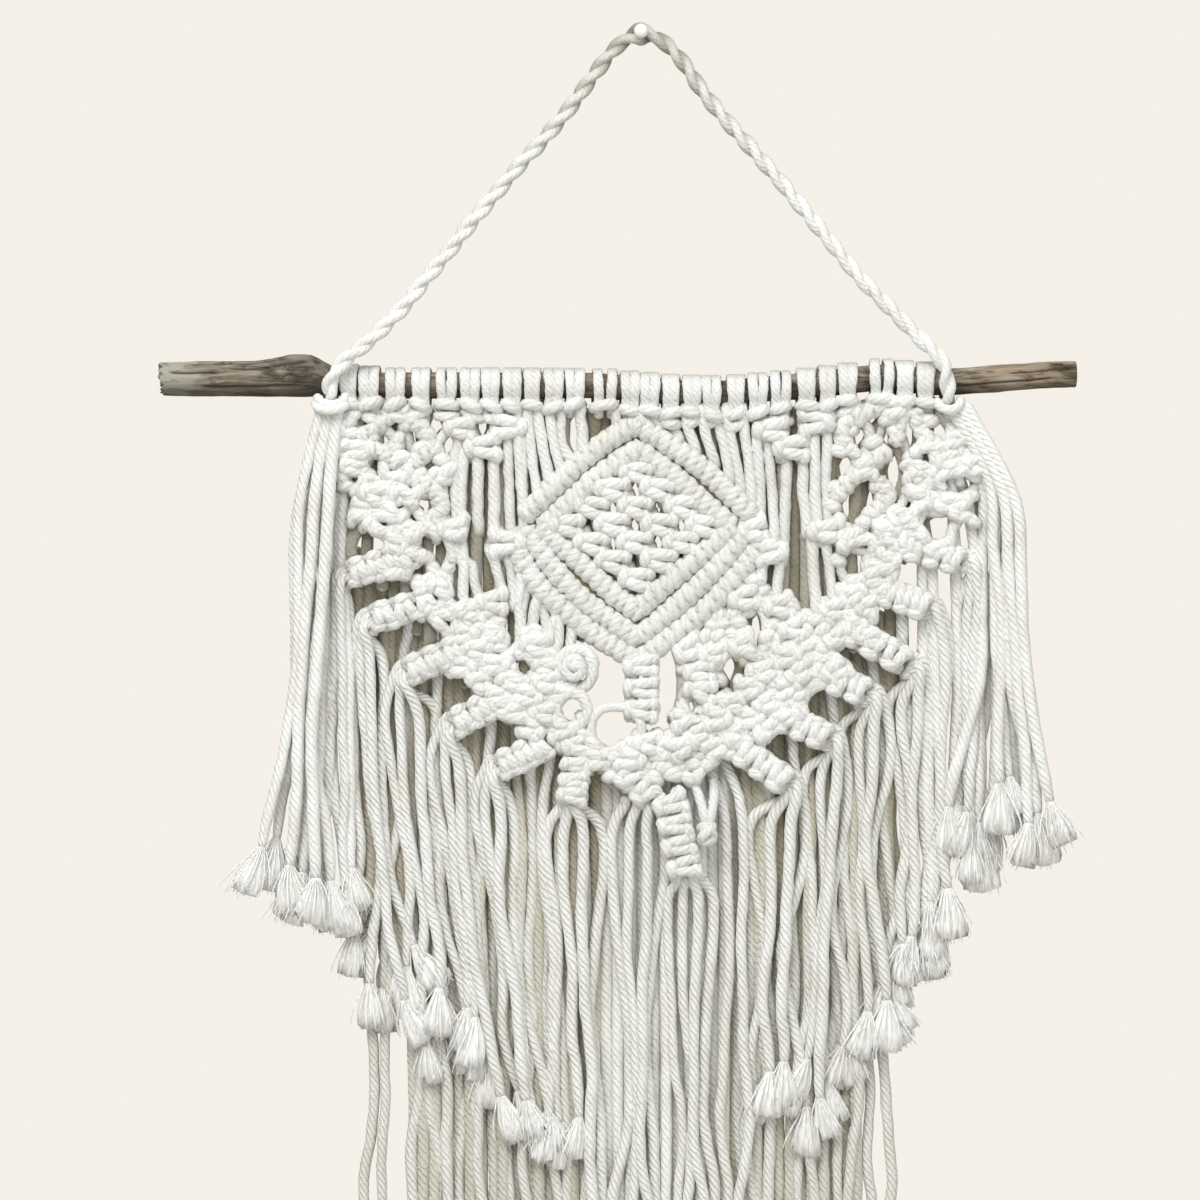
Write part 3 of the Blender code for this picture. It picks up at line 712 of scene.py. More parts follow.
# column, row, wide, tall
PITS = tuple(Gap(*row) for row in (
    (369, 421, 8, 7), (393, 427, 3, 5), (378, 467, 5, 7), (392, 469, 6, 2), (429, 467, 3, 5),
    (354, 480, 4, 3), (408, 488, 4, 3), (400, 502, 3, 6), (346, 497, 4, 4), (427, 539, 4, 4),
    (394, 564, 3, 4), (420, 573, 6, 2), (353, 577, 4, 4), (384, 524, 4, 2), (434, 599, 5, 2),
    (450, 625, 5, 2), (865, 490, 4, 7), (930, 411, 4, 4), (914, 405, 2, 4), (898, 452, 3, 2),
    (927, 458, 4, 4), (886, 474, 4, 2), (918, 481, 4, 2), (908, 504, 4, 3), (852, 523, 4, 3),
    (934, 495, 4, 3), (976, 509, 3, 6), (912, 540, 4, 2), (873, 534, 2, 4), (862, 545, 6, 3),
    (394, 596, 16, 11), (423, 645, 14, 13), (456, 702, 13, 16), (498, 741, 12, 14),
    (550, 779, 7, 18), (852, 650, 12, 5), (876, 672, 9, 14), (824, 706, 13, 12),
    (786, 746, 13, 14), (470, 545, 3, 18), (457, 583, 4, 16), (470, 583, 3, 12),
    (484, 575, 4, 12), (800, 590, 4, 14),
))  # fmt: skip


def open_at(column: float, row: float, margin: float) -> bool:
    """Whether a chart place lies in a gap or a pit, or within the margin of one."""
    return any(
        math.hypot(
            (column - gap.column) / (gap.wide + margin), (row - gap.row) / (gap.tall + margin)
        ) < 1.0
        for gap in (*GAPS, *PITS)
    )  # fmt: skip


def parted(path: np.ndarray, radius: float, pits: bool = True) -> np.ndarray:
    """The path, bent round every gap that it would cross.

    Args:
        path: Points in millimetres.
        radius: The cord's radius, which stays out of the gap too.
        pits: Whether it keeps out of the pits too, where only rear strands show.

    Returns:
        The bent path.
    """
    made = path.copy()
    for gap in (*GAPS, *PITS) if pits else GAPS:
        middle = place(gap.column, gap.row)
        size = np.array([gap.wide, gap.tall]) * SQUARE + radius * 0.8
        off = (made[:, (0, 2)] - middle[[0, 2]]) / size
        far = np.linalg.norm(off, axis=1)
        inside = far < 1.5
        if not inside.any():
            continue
        reach = np.maximum(far[inside], 0.05)
        wanted = 1.0 + reach * (0.5 / 1.5)
        push = np.zeros((len(made), 2))
        push[inside] = off[inside] / reach[:, None] * (wanted - far[inside])[:, None] * size
        made[:, (0, 2)] += push
    return made


@dataclass
class SquareKnot:
    """Two half knots tied over two core strands."""

    column: float
    row: float
    width: float = 14.4
    height: float = 8.0
    turn: float = 0.0
    flip: bool = False
    depth: float = PANEL_DEPTH
    front: tuple = (
        (-4.4, -0.6, 5.0), (-5.0, -0.2, 3.4), (-3.6, 1.6, 1.7), (0.0, 3.3, 2.0),
        (3.6, 2.0, 2.5), (5.3, 0.6, 1.6), (5.7, -0.4, 0.0), (5.3, 0.6, -1.5),
        (3.6, 2.0, -2.5), (0.0, 3.3, -2.0), (-3.6, 1.6, -1.6), (-5.0, -0.2, -3.4),
        (-4.4, -0.6, -5.0),
    )  # fmt: skip
    loop: tuple = (
        (4.4, 0.2, 5.0), (5.0, 2.2, 3.7), (4.6, 1.9, 2.0), (2.2, -1.7, 1.0),
        (-0.4, -2.3, 1.3), (-3.4, -1.2, 1.7), (-5.0, 1.6, 1.9), (-5.2, 2.9, 0.8),
        (-5.2, 2.9, -0.8), (-5.0, 1.6, -1.9), (-3.4, -1.2, -1.7), (-0.4, -2.3, -1.3),
        (2.2, -1.7, -1.0), (4.6, 1.9, -2.0), (5.0, 2.2, -3.7), (4.4, 0.2, -5.0),
    )  # fmt: skip
    core: tuple = (
        (-3.6, -0.6, 5.2), (-2.5, 0.0, 3.4), (-1.9, 0.2, 0.0), (-2.5, 0.0, -3.4), (-3.6, -0.6, -5.2)
    )

    def paths(self, hand: Hand) -> list:
        """The knot's four cords as points in millimetres.

        Args:
            hand: What makes each knot a little different.

        Returns:
            The front cord, the loop cord and the two cores.
        """
        mirror = np.array([-1.0, 1.0, 1.0])
        side = mirror if self.flip else np.ones(3)
        scale = np.array([self.width / 14.4, 1.0, self.height / 8.0])
        cords = [
            np.array(self.front) * side, np.array(self.loop) * side,
            np.array(self.core), np.array(self.core) * mirror,
        ]  # fmt: skip
        turn = math.radians(self.turn + hand.slip(5.0))
        c, s = math.cos(turn), math.sin(turn)
        middle = place(self.column, self.row, self.depth)
        made = []
        for cord in cords:
            local = cord * scale + np.array([[hand.slip(0.28) for _ in range(3)] for _ in cord])
            made.append(
                middle
                + np.stack(
                    [local[:, 0] * c - local[:, 2] * s, -local[:, 1],
                     local[:, 0] * s + local[:, 2] * c], 1,
                )
            )  # fmt: skip
        return made


@dataclass
class Knots:
    """A field of square knots in one mesh."""

    name: str
    hand: Hand
    radius: float = 2.2

    def fill(self, mesh: CordMesh, knots: list, part: bool = True) -> None:
        """Ties the knots into the mesh.

        Args:
            mesh: What they join.
            knots: The square knots.
            part: Whether their cords part round the gaps.
        """
        for knot in knots:
            for path in knot.paths(self.hand):
                fine = smooth(path, 1.2)
                if part:
                    fine = even(parted(fine, self.radius), 1.15)
                proud = np.clip((0.6 - fine[:, 1] - knot.depth) / 3.6, 0.0, 1.0)
                radius = self.radius * (0.80 + 0.30 * proud) * (1.0 + self.hand.slip(0.06))
                mesh.add(fine, radius, Section.KNOTTED, self.hand.tone())


@dataclass
class HitchBar:
    """A holding cord wrapped closely by half hitches."""

    points: tuple
    half: float = 4.3
    pitch: float = 3.9
    groove: float = 1.35
    depth: float = PANEL_DEPTH + 0.4
    left_handed: bool = False
    fullness: float = 0.93
    shade: float = 0.16
    dip_shade: float = 0.50

    def tie(self, mesh: CordMesh, hand: Hand) -> None:
        """Adds the wraps: a round whose skin rises over each and dips between them."""
        sides, step, _ = Section.BAR.value
        core = even(smooth(route(self.points, self.depth), 0.9), step)
        along = lengths(core)
        count = len(core)
        uneven = hand.drift(count, 0.16, max(1.0, along[-1] / 9.0))
        swell = 1.0 + hand.drift(count, 0.05, max(1.0, along[-1] / 6.0))
        around = np.arange(sides) / sides * (-1.0 if self.left_handed else 1.0)
        turns = (along / self.pitch + uneven)[:, None] + around[None, :]
        each = np.floor(turns).astype(int)
        lift = np.array([hand.slip(0.14) for _ in range(each.max() - each.min() + 1)])
        dip = np.abs((turns - each) * 2.0 - 1.0)
        skin = np.sqrt(1.0 - (self.fullness * dip) ** 2) - 1.0
        radius = self.half * swell[:, None] + self.groove * skin + lift[each - each.min()]
        deep = self.shade + self.dip_shade * np.clip(dip, 0.0, 1.0) ** 6
        mesh.add(core, radius, Section.BAR, hand.tone(), deep)


@dataclass
class Sinnet:
    """A chain of square knots."""

    start: tuple
    end: tuple
    knots: int
    width: float
    depth: float = PANEL_DEPTH

    def chain(self) -> list:
        """The chain's square knots, one under the other."""
        (a, b), (c, d) = self.start, self.end
        tilt = math.degrees(math.atan2(c - a, d - b))
        span = math.hypot(c - a, d - b) * SQUARE / self.knots
        return [
            SquareKnot(
                a + (c - a) * (i + 0.5) / self.knots, b + (d - b) * (i + 0.5) / self.knots,
                self.width, span * 0.86, tilt, False, self.depth,
            )
            for i in range(self.knots)
        ]  # fmt: skip


@dataclass
class LarksHeads:
    """The cords' folded heads round the branch, each with a bight across its front."""

    pairs: tuple = (
        (344.5, 353.5), (364.5, 374.5), (390, 400), (415.5, 425.5), (441.5, 451.5),
        (465.5, 475.5), (486.5, 495.5), (507.5, 516.5), (528, 536), (548.5, 557.5),
        (569.5, 579), (597, 612.5), (624.5, 634.5), (646, 655), (666.5, 675.5),
        (687.5, 696.5), (707.5, 715.5), (731.5, 740.5), (752.5, 762.5), (775.5, 785.5),
        (801.5, 810.5), (822.5, 831.5), (843, 853), (874.5, 888), (900, 909), (922, 930),
    )  # fmt: skip
    cord: float = 1.90
    pinch: float = 0.45
    pressed: float = 1.95
    lump: float = 1.95

    def tie(self, mesh: CordMesh, wood: "Branch", hand: Hand) -> None:
        """Adds every head.

        Args:
            mesh: What they join.
            wood: The branch that they go round.
            hand: What makes each a little different.
        """
        for left, right in self.pairs:
            a, b = (place(column, 0.0)[0] + hand.slip(0.15) for column in (left, right))
            centre, girth = wood.at((a + b) / 2.0)
            tone = hand.tone()
            for x, inward in ((a, self.pinch), (b, -self.pinch)):
                fine = even(smooth(self.wrap(x, centre, girth, inward, hand), 1.0), 1.2)
                # Painted shade on each wrap's lower part, towards the branch's underside.
                low = np.clip((centre - fine[:, 2] + 1.5) / (girth + 2.0), 0.0, 1.0)
                mesh.add(
                    fine, self.cord * (1.0 + hand.slip(0.04)), Section.KNOTTED, tone, low * 0.22,
                    press=lambda ring, c=centre, g=girth: self.tighten(ring, c, g),
                )  # fmt: skip
            for low in (False, True):
                if low and hand.dice.random() < 0.3:
                    continue
                lump = even(smooth(self.bight(a, b, centre, girth, low, hand), 0.9), 1.2)
                swell = swollen(len(lump), 0.76)
                mesh.add(
                    lump, self.lump * (1.0 + hand.slip(0.10)) * swell, Section.KNOTTED, hand.tone()
                )

    def wrap(
        self, x: float, centre: float, girth: float, inward: float, hand: Hand
    ) -> np.ndarray:
        """One turn over the branch, from in front of it, drawn in below, to behind it."""
        turn = girth + self.cord
        lean = hand.slip(0.4)
        foot = x + inward
        made = [(foot, -14.0, centre - turn - 4.6), (foot, -15.6, centre - turn - 1.0)]
        for degrees in (-42, -15, 20, 55, 90, 125, 160, 195, 225, 250):
            t = math.radians(degrees)
            drawn = inward * max(0.0, (30.0 - degrees) / 72.0)
            made.append(
                (x + lean * math.cos(t) + drawn, -BRANCH_DEPTH - turn * math.cos(t),
                 centre + turn * math.sin(t))
            )  # fmt: skip
        made.append((x, -13.6, centre - turn - 3.4))
        return np.array(made)

    def bight(
        self, a: float, b: float, centre: float, girth: float, low: bool, hand: Hand
    ) -> np.ndarray:
        """The fold that crosses under the head, or the hitch that holds it below."""
        level = centre - girth - (6.9 if low else 3.0) + hand.slip(1.0 if low else 0.7)
        out = (16.6 if low else 18.2) + hand.slip(0.8 if low else 0.4)
        tilt = hand.slip(1.8 if low else 1.4)
        a, b = a + hand.slip(0.9), b + hand.slip(0.9)
        way = 1.0 if low else -1.0
        return np.array(
            [
                (a - 1.0, -12.6, level + 0.9 * way), (a - 1.4, -14.6, level + 0.4 * way - tilt),
                (a - 0.3, -out + 0.4, level - tilt * 0.7), ((a + b) / 2.0, -out - 0.9, level),
                (b + 0.3, -out + 0.4, level + tilt * 0.7),
                (b + 1.4, -14.6, level + 0.4 * way + tilt), (b + 1.0, -12.6, level + 0.9 * way),
            ]
        )  # fmt: skip

    def tighten(self, ring: np.ndarray, centre: float, girth: float) -> np.ndarray:
        """The wraps' skin drawn flat against the branch."""
        off = ring[..., 1:] - np.array([-BRANCH_DEPTH, centre])
        far = np.linalg.norm(off, axis=-1)
        on = np.clip((off[..., 1] + girth + 3.2) / 2.4, 0.0, 1.0)
        lift = np.clip((far - girth) / 4.3, 0.0, 1.0)
        wanted = girth + 0.15 + self.pressed * (1.0 - (1.0 - lift) ** 2.2)
        made = ring.copy()
        made[..., 1:] += off * (on * (wanted - far) / np.maximum(far, 1e-6))[..., None]
        return made


DIAMOND = (
    HitchBar(((643, 420), (600, 446), (562, 479), (524, 516))),
    HitchBar(((641, 447), (600, 475), (570, 502), (543, 527))),
    HitchBar(((637, 425), (680, 452), (712, 477), (752, 516)), left_handed=True),
    HitchBar(((638, 449), (678, 480), (704, 503), (731, 527)), left_handed=True),
    HitchBar(((541, 528), (579, 561), (609, 590), (640, 614)), left_handed=True),
    HitchBar(((526, 531), (558, 574), (590, 605.5), (640, 640)), left_handed=True),
    HitchBar(((514, 545), (538, 585), (585, 627), (638, 662)), left_handed=True),
    HitchBar(((733, 528), (693, 561), (666, 584), (637, 610))),
    HitchBar(((748, 531), (710, 574), (676, 606), (640, 636))),
    HitchBar(((760, 545), (724, 590), (690, 622), (636, 662))),
)

# Filler cords along the gaps between the diamond's bars, behind them, fully in painted shade.
PAINTED_SHADE_CORDS = (
    ((641, 434), (600, 461), (566, 491), (533, 521)),
    ((639, 437), (679, 466), (708, 490), (741, 521)),
    ((534, 530), (568, 567), (600, 598), (640, 627)),
    ((520, 538), (548, 580), (588, 616), (639, 651)),
    ((741, 530), (701, 568), (671, 595), (639, 623)),
    ((754, 538), (717, 582), (683, 614), (638, 649)),
    ((636, 462), (600, 490), (578, 510), (556, 528)),
    ((636, 462), (672, 490), (696, 510), (718, 528)),
    ((556, 530), (586, 558), (612, 582), (637, 600)),
    ((718, 530), (690, 556), (662, 580), (637, 600)),
)

LEAVES = (
    HitchBar(((402, 412), (420, 426), (429, 444), (417, 462)), 3.7),
    HitchBar(((417, 462), (398, 480), (378, 489), (358, 496)), 3.6),
    HitchBar(((390, 416), (374, 428), (360, 438)), 3.2),
    HitchBar(((366, 446), (384, 454), (399, 464)), 3.5, left_handed=True),
    HitchBar(((405, 478), (428, 486), (440, 500), (438, 530)), 3.6, left_handed=True),
    HitchBar(((352, 452), (360, 466), (372, 480)), 3.2, left_handed=True),
    HitchBar(((878, 408), (852, 418), (842, 436), (850, 452)), 3.5),
    HitchBar(((884, 412), (898, 424), (896, 444)), 3.3, left_handed=True),
    HitchBar(((888, 452), (866, 464), (850, 480), (838, 496)), 3.6),
    HitchBar(((878, 480), (888, 498), (872, 514), (860, 528)), 3.5, left_handed=True),
    HitchBar(((916, 410), (920, 430), (940, 448)), 3.2, left_handed=True),
    HitchBar(((906, 462), (914, 476), (934, 486)), 3.4, left_handed=True),
)

SINNETS = (
    Sinnet((641, 655), (641, 720), 3, 13.2, PANEL_DEPTH + 0.8),
    Sinnet((668, 793), (686, 876), 4, 13.0, PANEL_DEPTH + 1.6),
)

TEETH = (
    Sinnet((402, 558), (350, 574), 3, 10.4), Sinnet((436, 598), (374, 619), 3, 10.8),
    Sinnet((462, 648), (408, 672), 3, 10.8), Sinnet((506, 698), (454, 724), 3, 10.8),
    Sinnet((548, 744), (500, 767), 3, 10.8), Sinnet((577, 757), (571, 803), 3, 11.0),
    Sinnet((905, 545), (960, 561), 3, 10.4), Sinnet((880, 590), (926, 607), 3, 10.6),
    Sinnet((842, 625), (904, 662), 3, 10.8), Sinnet((812, 668), (864, 692), 3, 10.8),
    Sinnet((776, 714), (826, 737), 3, 10.8), Sinnet((738, 748), (786, 782), 3, 10.8),
    Sinnet((620, 766), (652, 800), 2, 10.6),
)  # fmt: skip


@dataclass(frozen=True)
class Band:
    """A slanting field of alternating square knots along a middle line."""

    line: tuple
    half: float
    anchor: tuple
    lean: float = 0.0
    across: float = 17.0
    down: float = 15.5
    cord: float = 2.4
    fold: tuple = (
        (-2.9, -2.2, -0.5), (-1.9, 0.5, 0.0), (0.0, 1.9, 0.4), (1.9, 0.5, 0.0), (2.9, -2.2, -0.5)
    )

    def extent(self) -> tuple:
        """The middle line's columns and its rows."""
        return tuple(zip(*self.line))

    def knots(self, hand: Hand) -> list:
        """The square knots whose places fall inside the band."""
        made = []
        columns, rows = self.extent()
        for j in range(-30, 31):
            for i in range(-30, 31):
                if (i + j) % 2:
                    continue
                column = self.anchor[0] + i * self.across
                row = self.anchor[1] + j * self.down
                if not min(columns) - 8 <= column <= max(columns) + 8:
                    continue
                if not min(rows) - 30 <= row <= max(rows) + 8 or self.away(column, row) > self.half:
                    continue
                if open_at(column, row, 4.0):
                    continue
                made.append(
                    SquareKnot(
                        column + hand.slip(2.2), row + hand.slip(2.0), 10.8 + hand.slip(0.9),
                        7.4 + hand.slip(0.6), self.lean + hand.slip(24.0), bool(i % 2),
                        PANEL_DEPTH + hand.slip(1.0),
                    )
                )  # fmt: skip
        return made

    def nubs(self, mesh: CordMesh, hand: Hand, depth: float = PANEL_DEPTH - 0.6) -> None:
        """Fills the band with the knots' smaller folds, which show between them."""
        columns, rows = self.extent()
        for k, j in enumerate(range(int(min(rows)) - 30, int(max(rows)) + 30, 11)):
            for i in range(int(min(columns)) - 40, int(max(columns)) + 40, 14):
                column = i + (7.0 if k % 2 else 0.0) + hand.slip(2.6)
                row = j + hand.slip(2.4)
                if self.away(column, row) > self.half - 3.0 or open_at(column, row, 4.5):
                    continue
                turn = math.radians(self.lean + hand.slip(55.0))
                c, s = math.cos(turn), math.sin(turn)
                middle = place(column, row, depth + hand.slip(0.9))
                size = hand.dice.uniform(0.85, 1.15)
                spots = np.array(
                    [
                        middle + np.array([x * c - z * s, -y, x * s + z * c]) * size
                        for x, y, z in self.fold
                    ]
                )  # fmt: skip
                fine = even(parted(smooth(spots, 1.2), self.cord * 0.7), 1.3)
                swell = swollen(len(fine), 0.72)
                mesh.add(
                    fine, self.cord * hand.dice.uniform(0.92, 1.14) * swell, Section.KNOTTED,
                    hand.tone(),
                )  # fmt: skip

    def away(self, column: float, row: float) -> float:
        """How far a chart place is from the middle line."""
        best = 1e9
        for (a, b), (c, d) in zip(self.line, self.line[1:]):
            span = (c - a) ** 2 + (d - b) ** 2
            t = min(1.0, max(0.0, ((column - a) * (c - a) + (row - b) * (d - b)) / span))
            best = min(best, math.hypot(column - a - t * (c - a), row - b - t * (d - b)))
        return best


CORNERS = (
    Band(((356, 424), (404, 432), (426, 462), (420, 520), (432, 566)), 30.0, (0, 0), -14.0),
    Band(((352, 462), (362, 510)), 18.0, (0, 0), -14.0),
    Band(((946, 456), (900, 428), (862, 436), (858, 500), (862, 560)), 30.0, (0, 0), 14.0),
    Band(((966, 462), (950, 506)), 18.0, (0, 0), 14.0),
    Band(((758, 600), (730, 634), (702, 670)), 23.0, (0, 0), 10.0),
    Band(((800, 612), (772, 646)), 17.0, (0, 0), 10.0),
    Band(((536, 640), (556, 672), (578, 704)), 17.0, (0, 0), -10.0),
)

BANDS = (
    Band(((356, 455), (400, 535), (450, 606), (500, 665), (550, 708), (600, 742), (640, 762)),
         31.0, (478, 620), -10.0),
    Band(((952, 455), (918, 530), (880, 588), (830, 646), (780, 690), (730, 724), (684, 752)),
         31.0, (802, 640), 10.0),
)  # fmt: skip

NET_ROWS = ((472, 1), (489, 2), (507, 3), (525, 4), (543, 3), (561, 2), (580, 1))

# column, row, width, height, turn, flip
UPPER = tuple(SquareKnot(*row) for row in (
    (459, 429, 12.4, 7.6), (508, 427, 13.2, 7.8, 0.0, True), (483, 447, 13.8, 8.0),
    (454, 530, 12.6, 7.8), (507, 543, 14.0, 8.2, 0.0, True), (771, 430, 13.0, 7.8),
    (816, 422, 13.4, 7.8, 0.0, True), (792, 448, 13.2, 8.0), (753, 531, 10.6, 8.4, 8.0),
    (771, 552, 11.6, 8.0, 0.0, True), (827, 531, 14.0, 7.8, 4.0), (350, 428, 8.6, 8.0, 12.0),
    (352, 468, 9.0, 7.6, -20.0), (382, 510, 11.0, 7.6, -30.0), (418, 532, 11.0, 7.6, 20.0),
    (896, 408, 10.6, 7.4, 0.0, True), (926, 446, 11.4, 8.0, 12.0), (950, 462, 11.4, 8.0, 10.0),
    (974, 466, 10.0, 7.8, 24.0), (942, 502, 11.4, 7.8, -20.0), (962, 512, 10.4, 7.8, 20.0),
    (905, 520, 11.4, 7.6, 14.0), (886, 534, 11.4, 7.6, -14.0), (862, 470, 10.6, 7.6, 14.0),
    (852, 542, 11.0, 7.6, 30.0), (492, 602, 12.0, 7.6, 6.0), (470, 612, 12.0, 7.6),
    (536, 645, 12.0, 7.6, -14.0), (548, 668, 11.6, 7.6, -20.0), (745, 645, 12.0, 7.6, 14.0),
    (715, 655, 11.6, 7.6, 10.0), (780, 606, 12.0, 7.6, 6.0), (700, 672, 11.6, 7.4),
    (744, 598, 10.6, 8.2, 10.0), (762, 672, 12.0, 7.6, 8.0), (700, 692, 12.0, 7.4, -6.0),
    (794, 628, 11.6, 7.6, 10.0), (688, 650, 11.0, 7.6, 24.0),
))  # fmt: skip


@dataclass(frozen=True)
class Run:
    """Strands side by side, from a row of tops past knees to a row of feet."""

    count: int
    tops: tuple
    knees: tuple
    feet: tuple
    depth: float = PANEL_DEPTH
    bow: float = 0.6


RUNS = (
    Run(2, ((516, 411), (528, 411)), ((519, 460), (532, 455)), ((525, 516), (537, 501)), 15.6),
    Run(3, ((538, 411), (560, 411)), ((543, 448), (565, 438)), ((550, 487), (575, 464)), 15.8),
    Run(1, ((581, 411), (581, 411)), ((578, 434), (578, 434)), ((584, 453), (584, 453)), 15.6),
    Run(2, ((616, 412), (628, 412)), ((616, 420), (630, 418)), ((618, 430), (632, 424)), 15.0),
    Run(2, ((652, 412), (668, 412)), ((655, 420), (674, 428)), ((660, 432), (680, 440)), 15.0),
    Run(2, ((685, 412), (701, 412)), ((689, 432), (706, 436)), ((696, 450), (716, 462)), 16.0),
    Run(2, ((716, 412), (727, 412)), ((722, 440), (733, 446)), ((730, 477), (741, 489)), 15.8),
    Run(1, ((742, 413), (742, 413)), ((747, 452), (747, 452)), ((752, 505), (752, 505)), 15.8),
    Run(2, ((442, 436), (454, 438)), ((443, 480), (455, 480)), ((446, 524), (457, 526))),
    Run(1, ((464, 452), (464, 452)), ((461, 490), (461, 490)), ((462, 524), (462, 524))),
    Run(2, ((478, 456), (493, 456)), ((478, 490), (494, 490)), ((477, 530), (494, 536))),
    Run(2, ((508, 438), (521, 434)), ((509, 480), (522, 478)), ((511, 536), (524, 530))),
    Run(2, ((757, 436), (768, 442)), ((760, 480), (771, 482)), ((760, 526), (775, 542))),
    Run(1, ((787, 458), (787, 458)), ((786, 490), (786, 490)), ((783, 545), (783, 545)), 14.2),
    Run(2, ((803, 458), (815, 440)), ((803, 492), (815, 490)), ((806, 530), (817, 526))),
    Run(1, ((827, 436), (827, 436)), ((826, 478), (826, 478)), ((828, 524), (828, 524))),
    Run(3, ((446, 538), (468, 540)), ((448, 568), (470, 566)), ((449, 602), (482, 604))),
    Run(3, ((490, 552), (524, 554)), ((498, 576), (526, 582)), ((506, 614), (520, 618))),
    Run(2, ((764, 558), (780, 560)), ((760, 584), (778, 584)), ((754, 614), (776, 608))),
    Run(3, ((812, 540), (840, 544)), ((814, 572), (844, 568)), ((816, 610), (850, 598))),
    Run(3, ((520, 570), (558, 612)), ((517, 614), (550, 644)), ((508, 652), (548, 668)), bow=2.0),
    Run(3, ((532, 584), (572, 622)), ((546, 622), (572, 646)), ((536, 654), (572, 678)), bow=2.0),
    Run(3, ((752, 572), (706, 616)), ((762, 616), (714, 646)), ((770, 646), (718, 670)), bow=2.0),
    Run(3, ((740, 584), (696, 624)), ((733, 624), (694, 650)), ((744, 654), (702, 680)), bow=2.0),
    Run(2, ((676, 655), (688, 652)), ((681, 690), (692, 690)), ((682, 735), (694, 735)), 13.0),
    Run(1, ((950, 500), (950, 500)), ((954, 524), (954, 524)), ((954, 556), (954, 556)), 14.4),
    Run(3, ((346, 411), (372, 411)), ((344, 434), (368, 430)), ((348, 466), (372, 462)), 13.6),
    Run(3, ((392, 411), (424, 411)), ((388, 428), (428, 430)), ((388, 450), (438, 460)), 13.6),
    Run(3, ((846, 411), (886, 411)), ((850, 434), (884, 436)), ((854, 460), (888, 462)), 13.6),
    Run(3, ((902, 411), (934, 411)), ((906, 432), (944, 436)), ((912, 462), (954, 464)), 13.6),
)  # fmt: skip


@dataclass(frozen=True)
class Rear:
    """Strands that lie behind the knots, in their shade and in painted shade, and part at each
    opening.
    """

    left: float = 347.0
    right: float = 948.0
    apart: float = 11.8
    top: float = 409.0
    depth: float = 11.4
    radius: float = 2.35
    brow: float = 640.0
    brow_span: tuple = (566.0, 684.0)
    foot_lift: float = 14.0
    edge: tuple = (
        (340, 545), (372, 590), (420, 650), (470, 706), (530, 752), (600, 782), (641, 790),
        (700, 776), (760, 740), (830, 690), (890, 626), (925, 570), (960, 520),
    )

    def hang(self, mesh: CordMesh, hand: Hand) -> None:
        """Adds the strands, each from the heads to the band's lower edge."""
        count = round((self.right - self.left) / self.apart)
        columns, rows = zip(*self.edge)
        for i in range(count + 1):
            column = self.left + (self.right - self.left) * i / count
            foot = float(np.interp(column, columns, rows)) - self.foot_lift
            if self.brow_span[0] < column < self.brow_span[1]:
                foot = self.brow
            steps = max(2, round((foot - self.top) / 40.0))
            spots = [
                (column + hand.slip(0.8), self.top + (foot - self.top) * k / steps)
                for k in range(steps + 1)
            ]
            path = smooth(route(tuple(spots), self.depth + (0.9 if i % 2 else -0.9)), 1.6)
            path = even(parted(path, self.radius + 0.2, False), 2.6)
            # Each strand's front takes strong painted shade.
            mesh.add(path, self.radius, Section.BEHIND, hand.tone(), 0.78 + hand.slip(0.14))


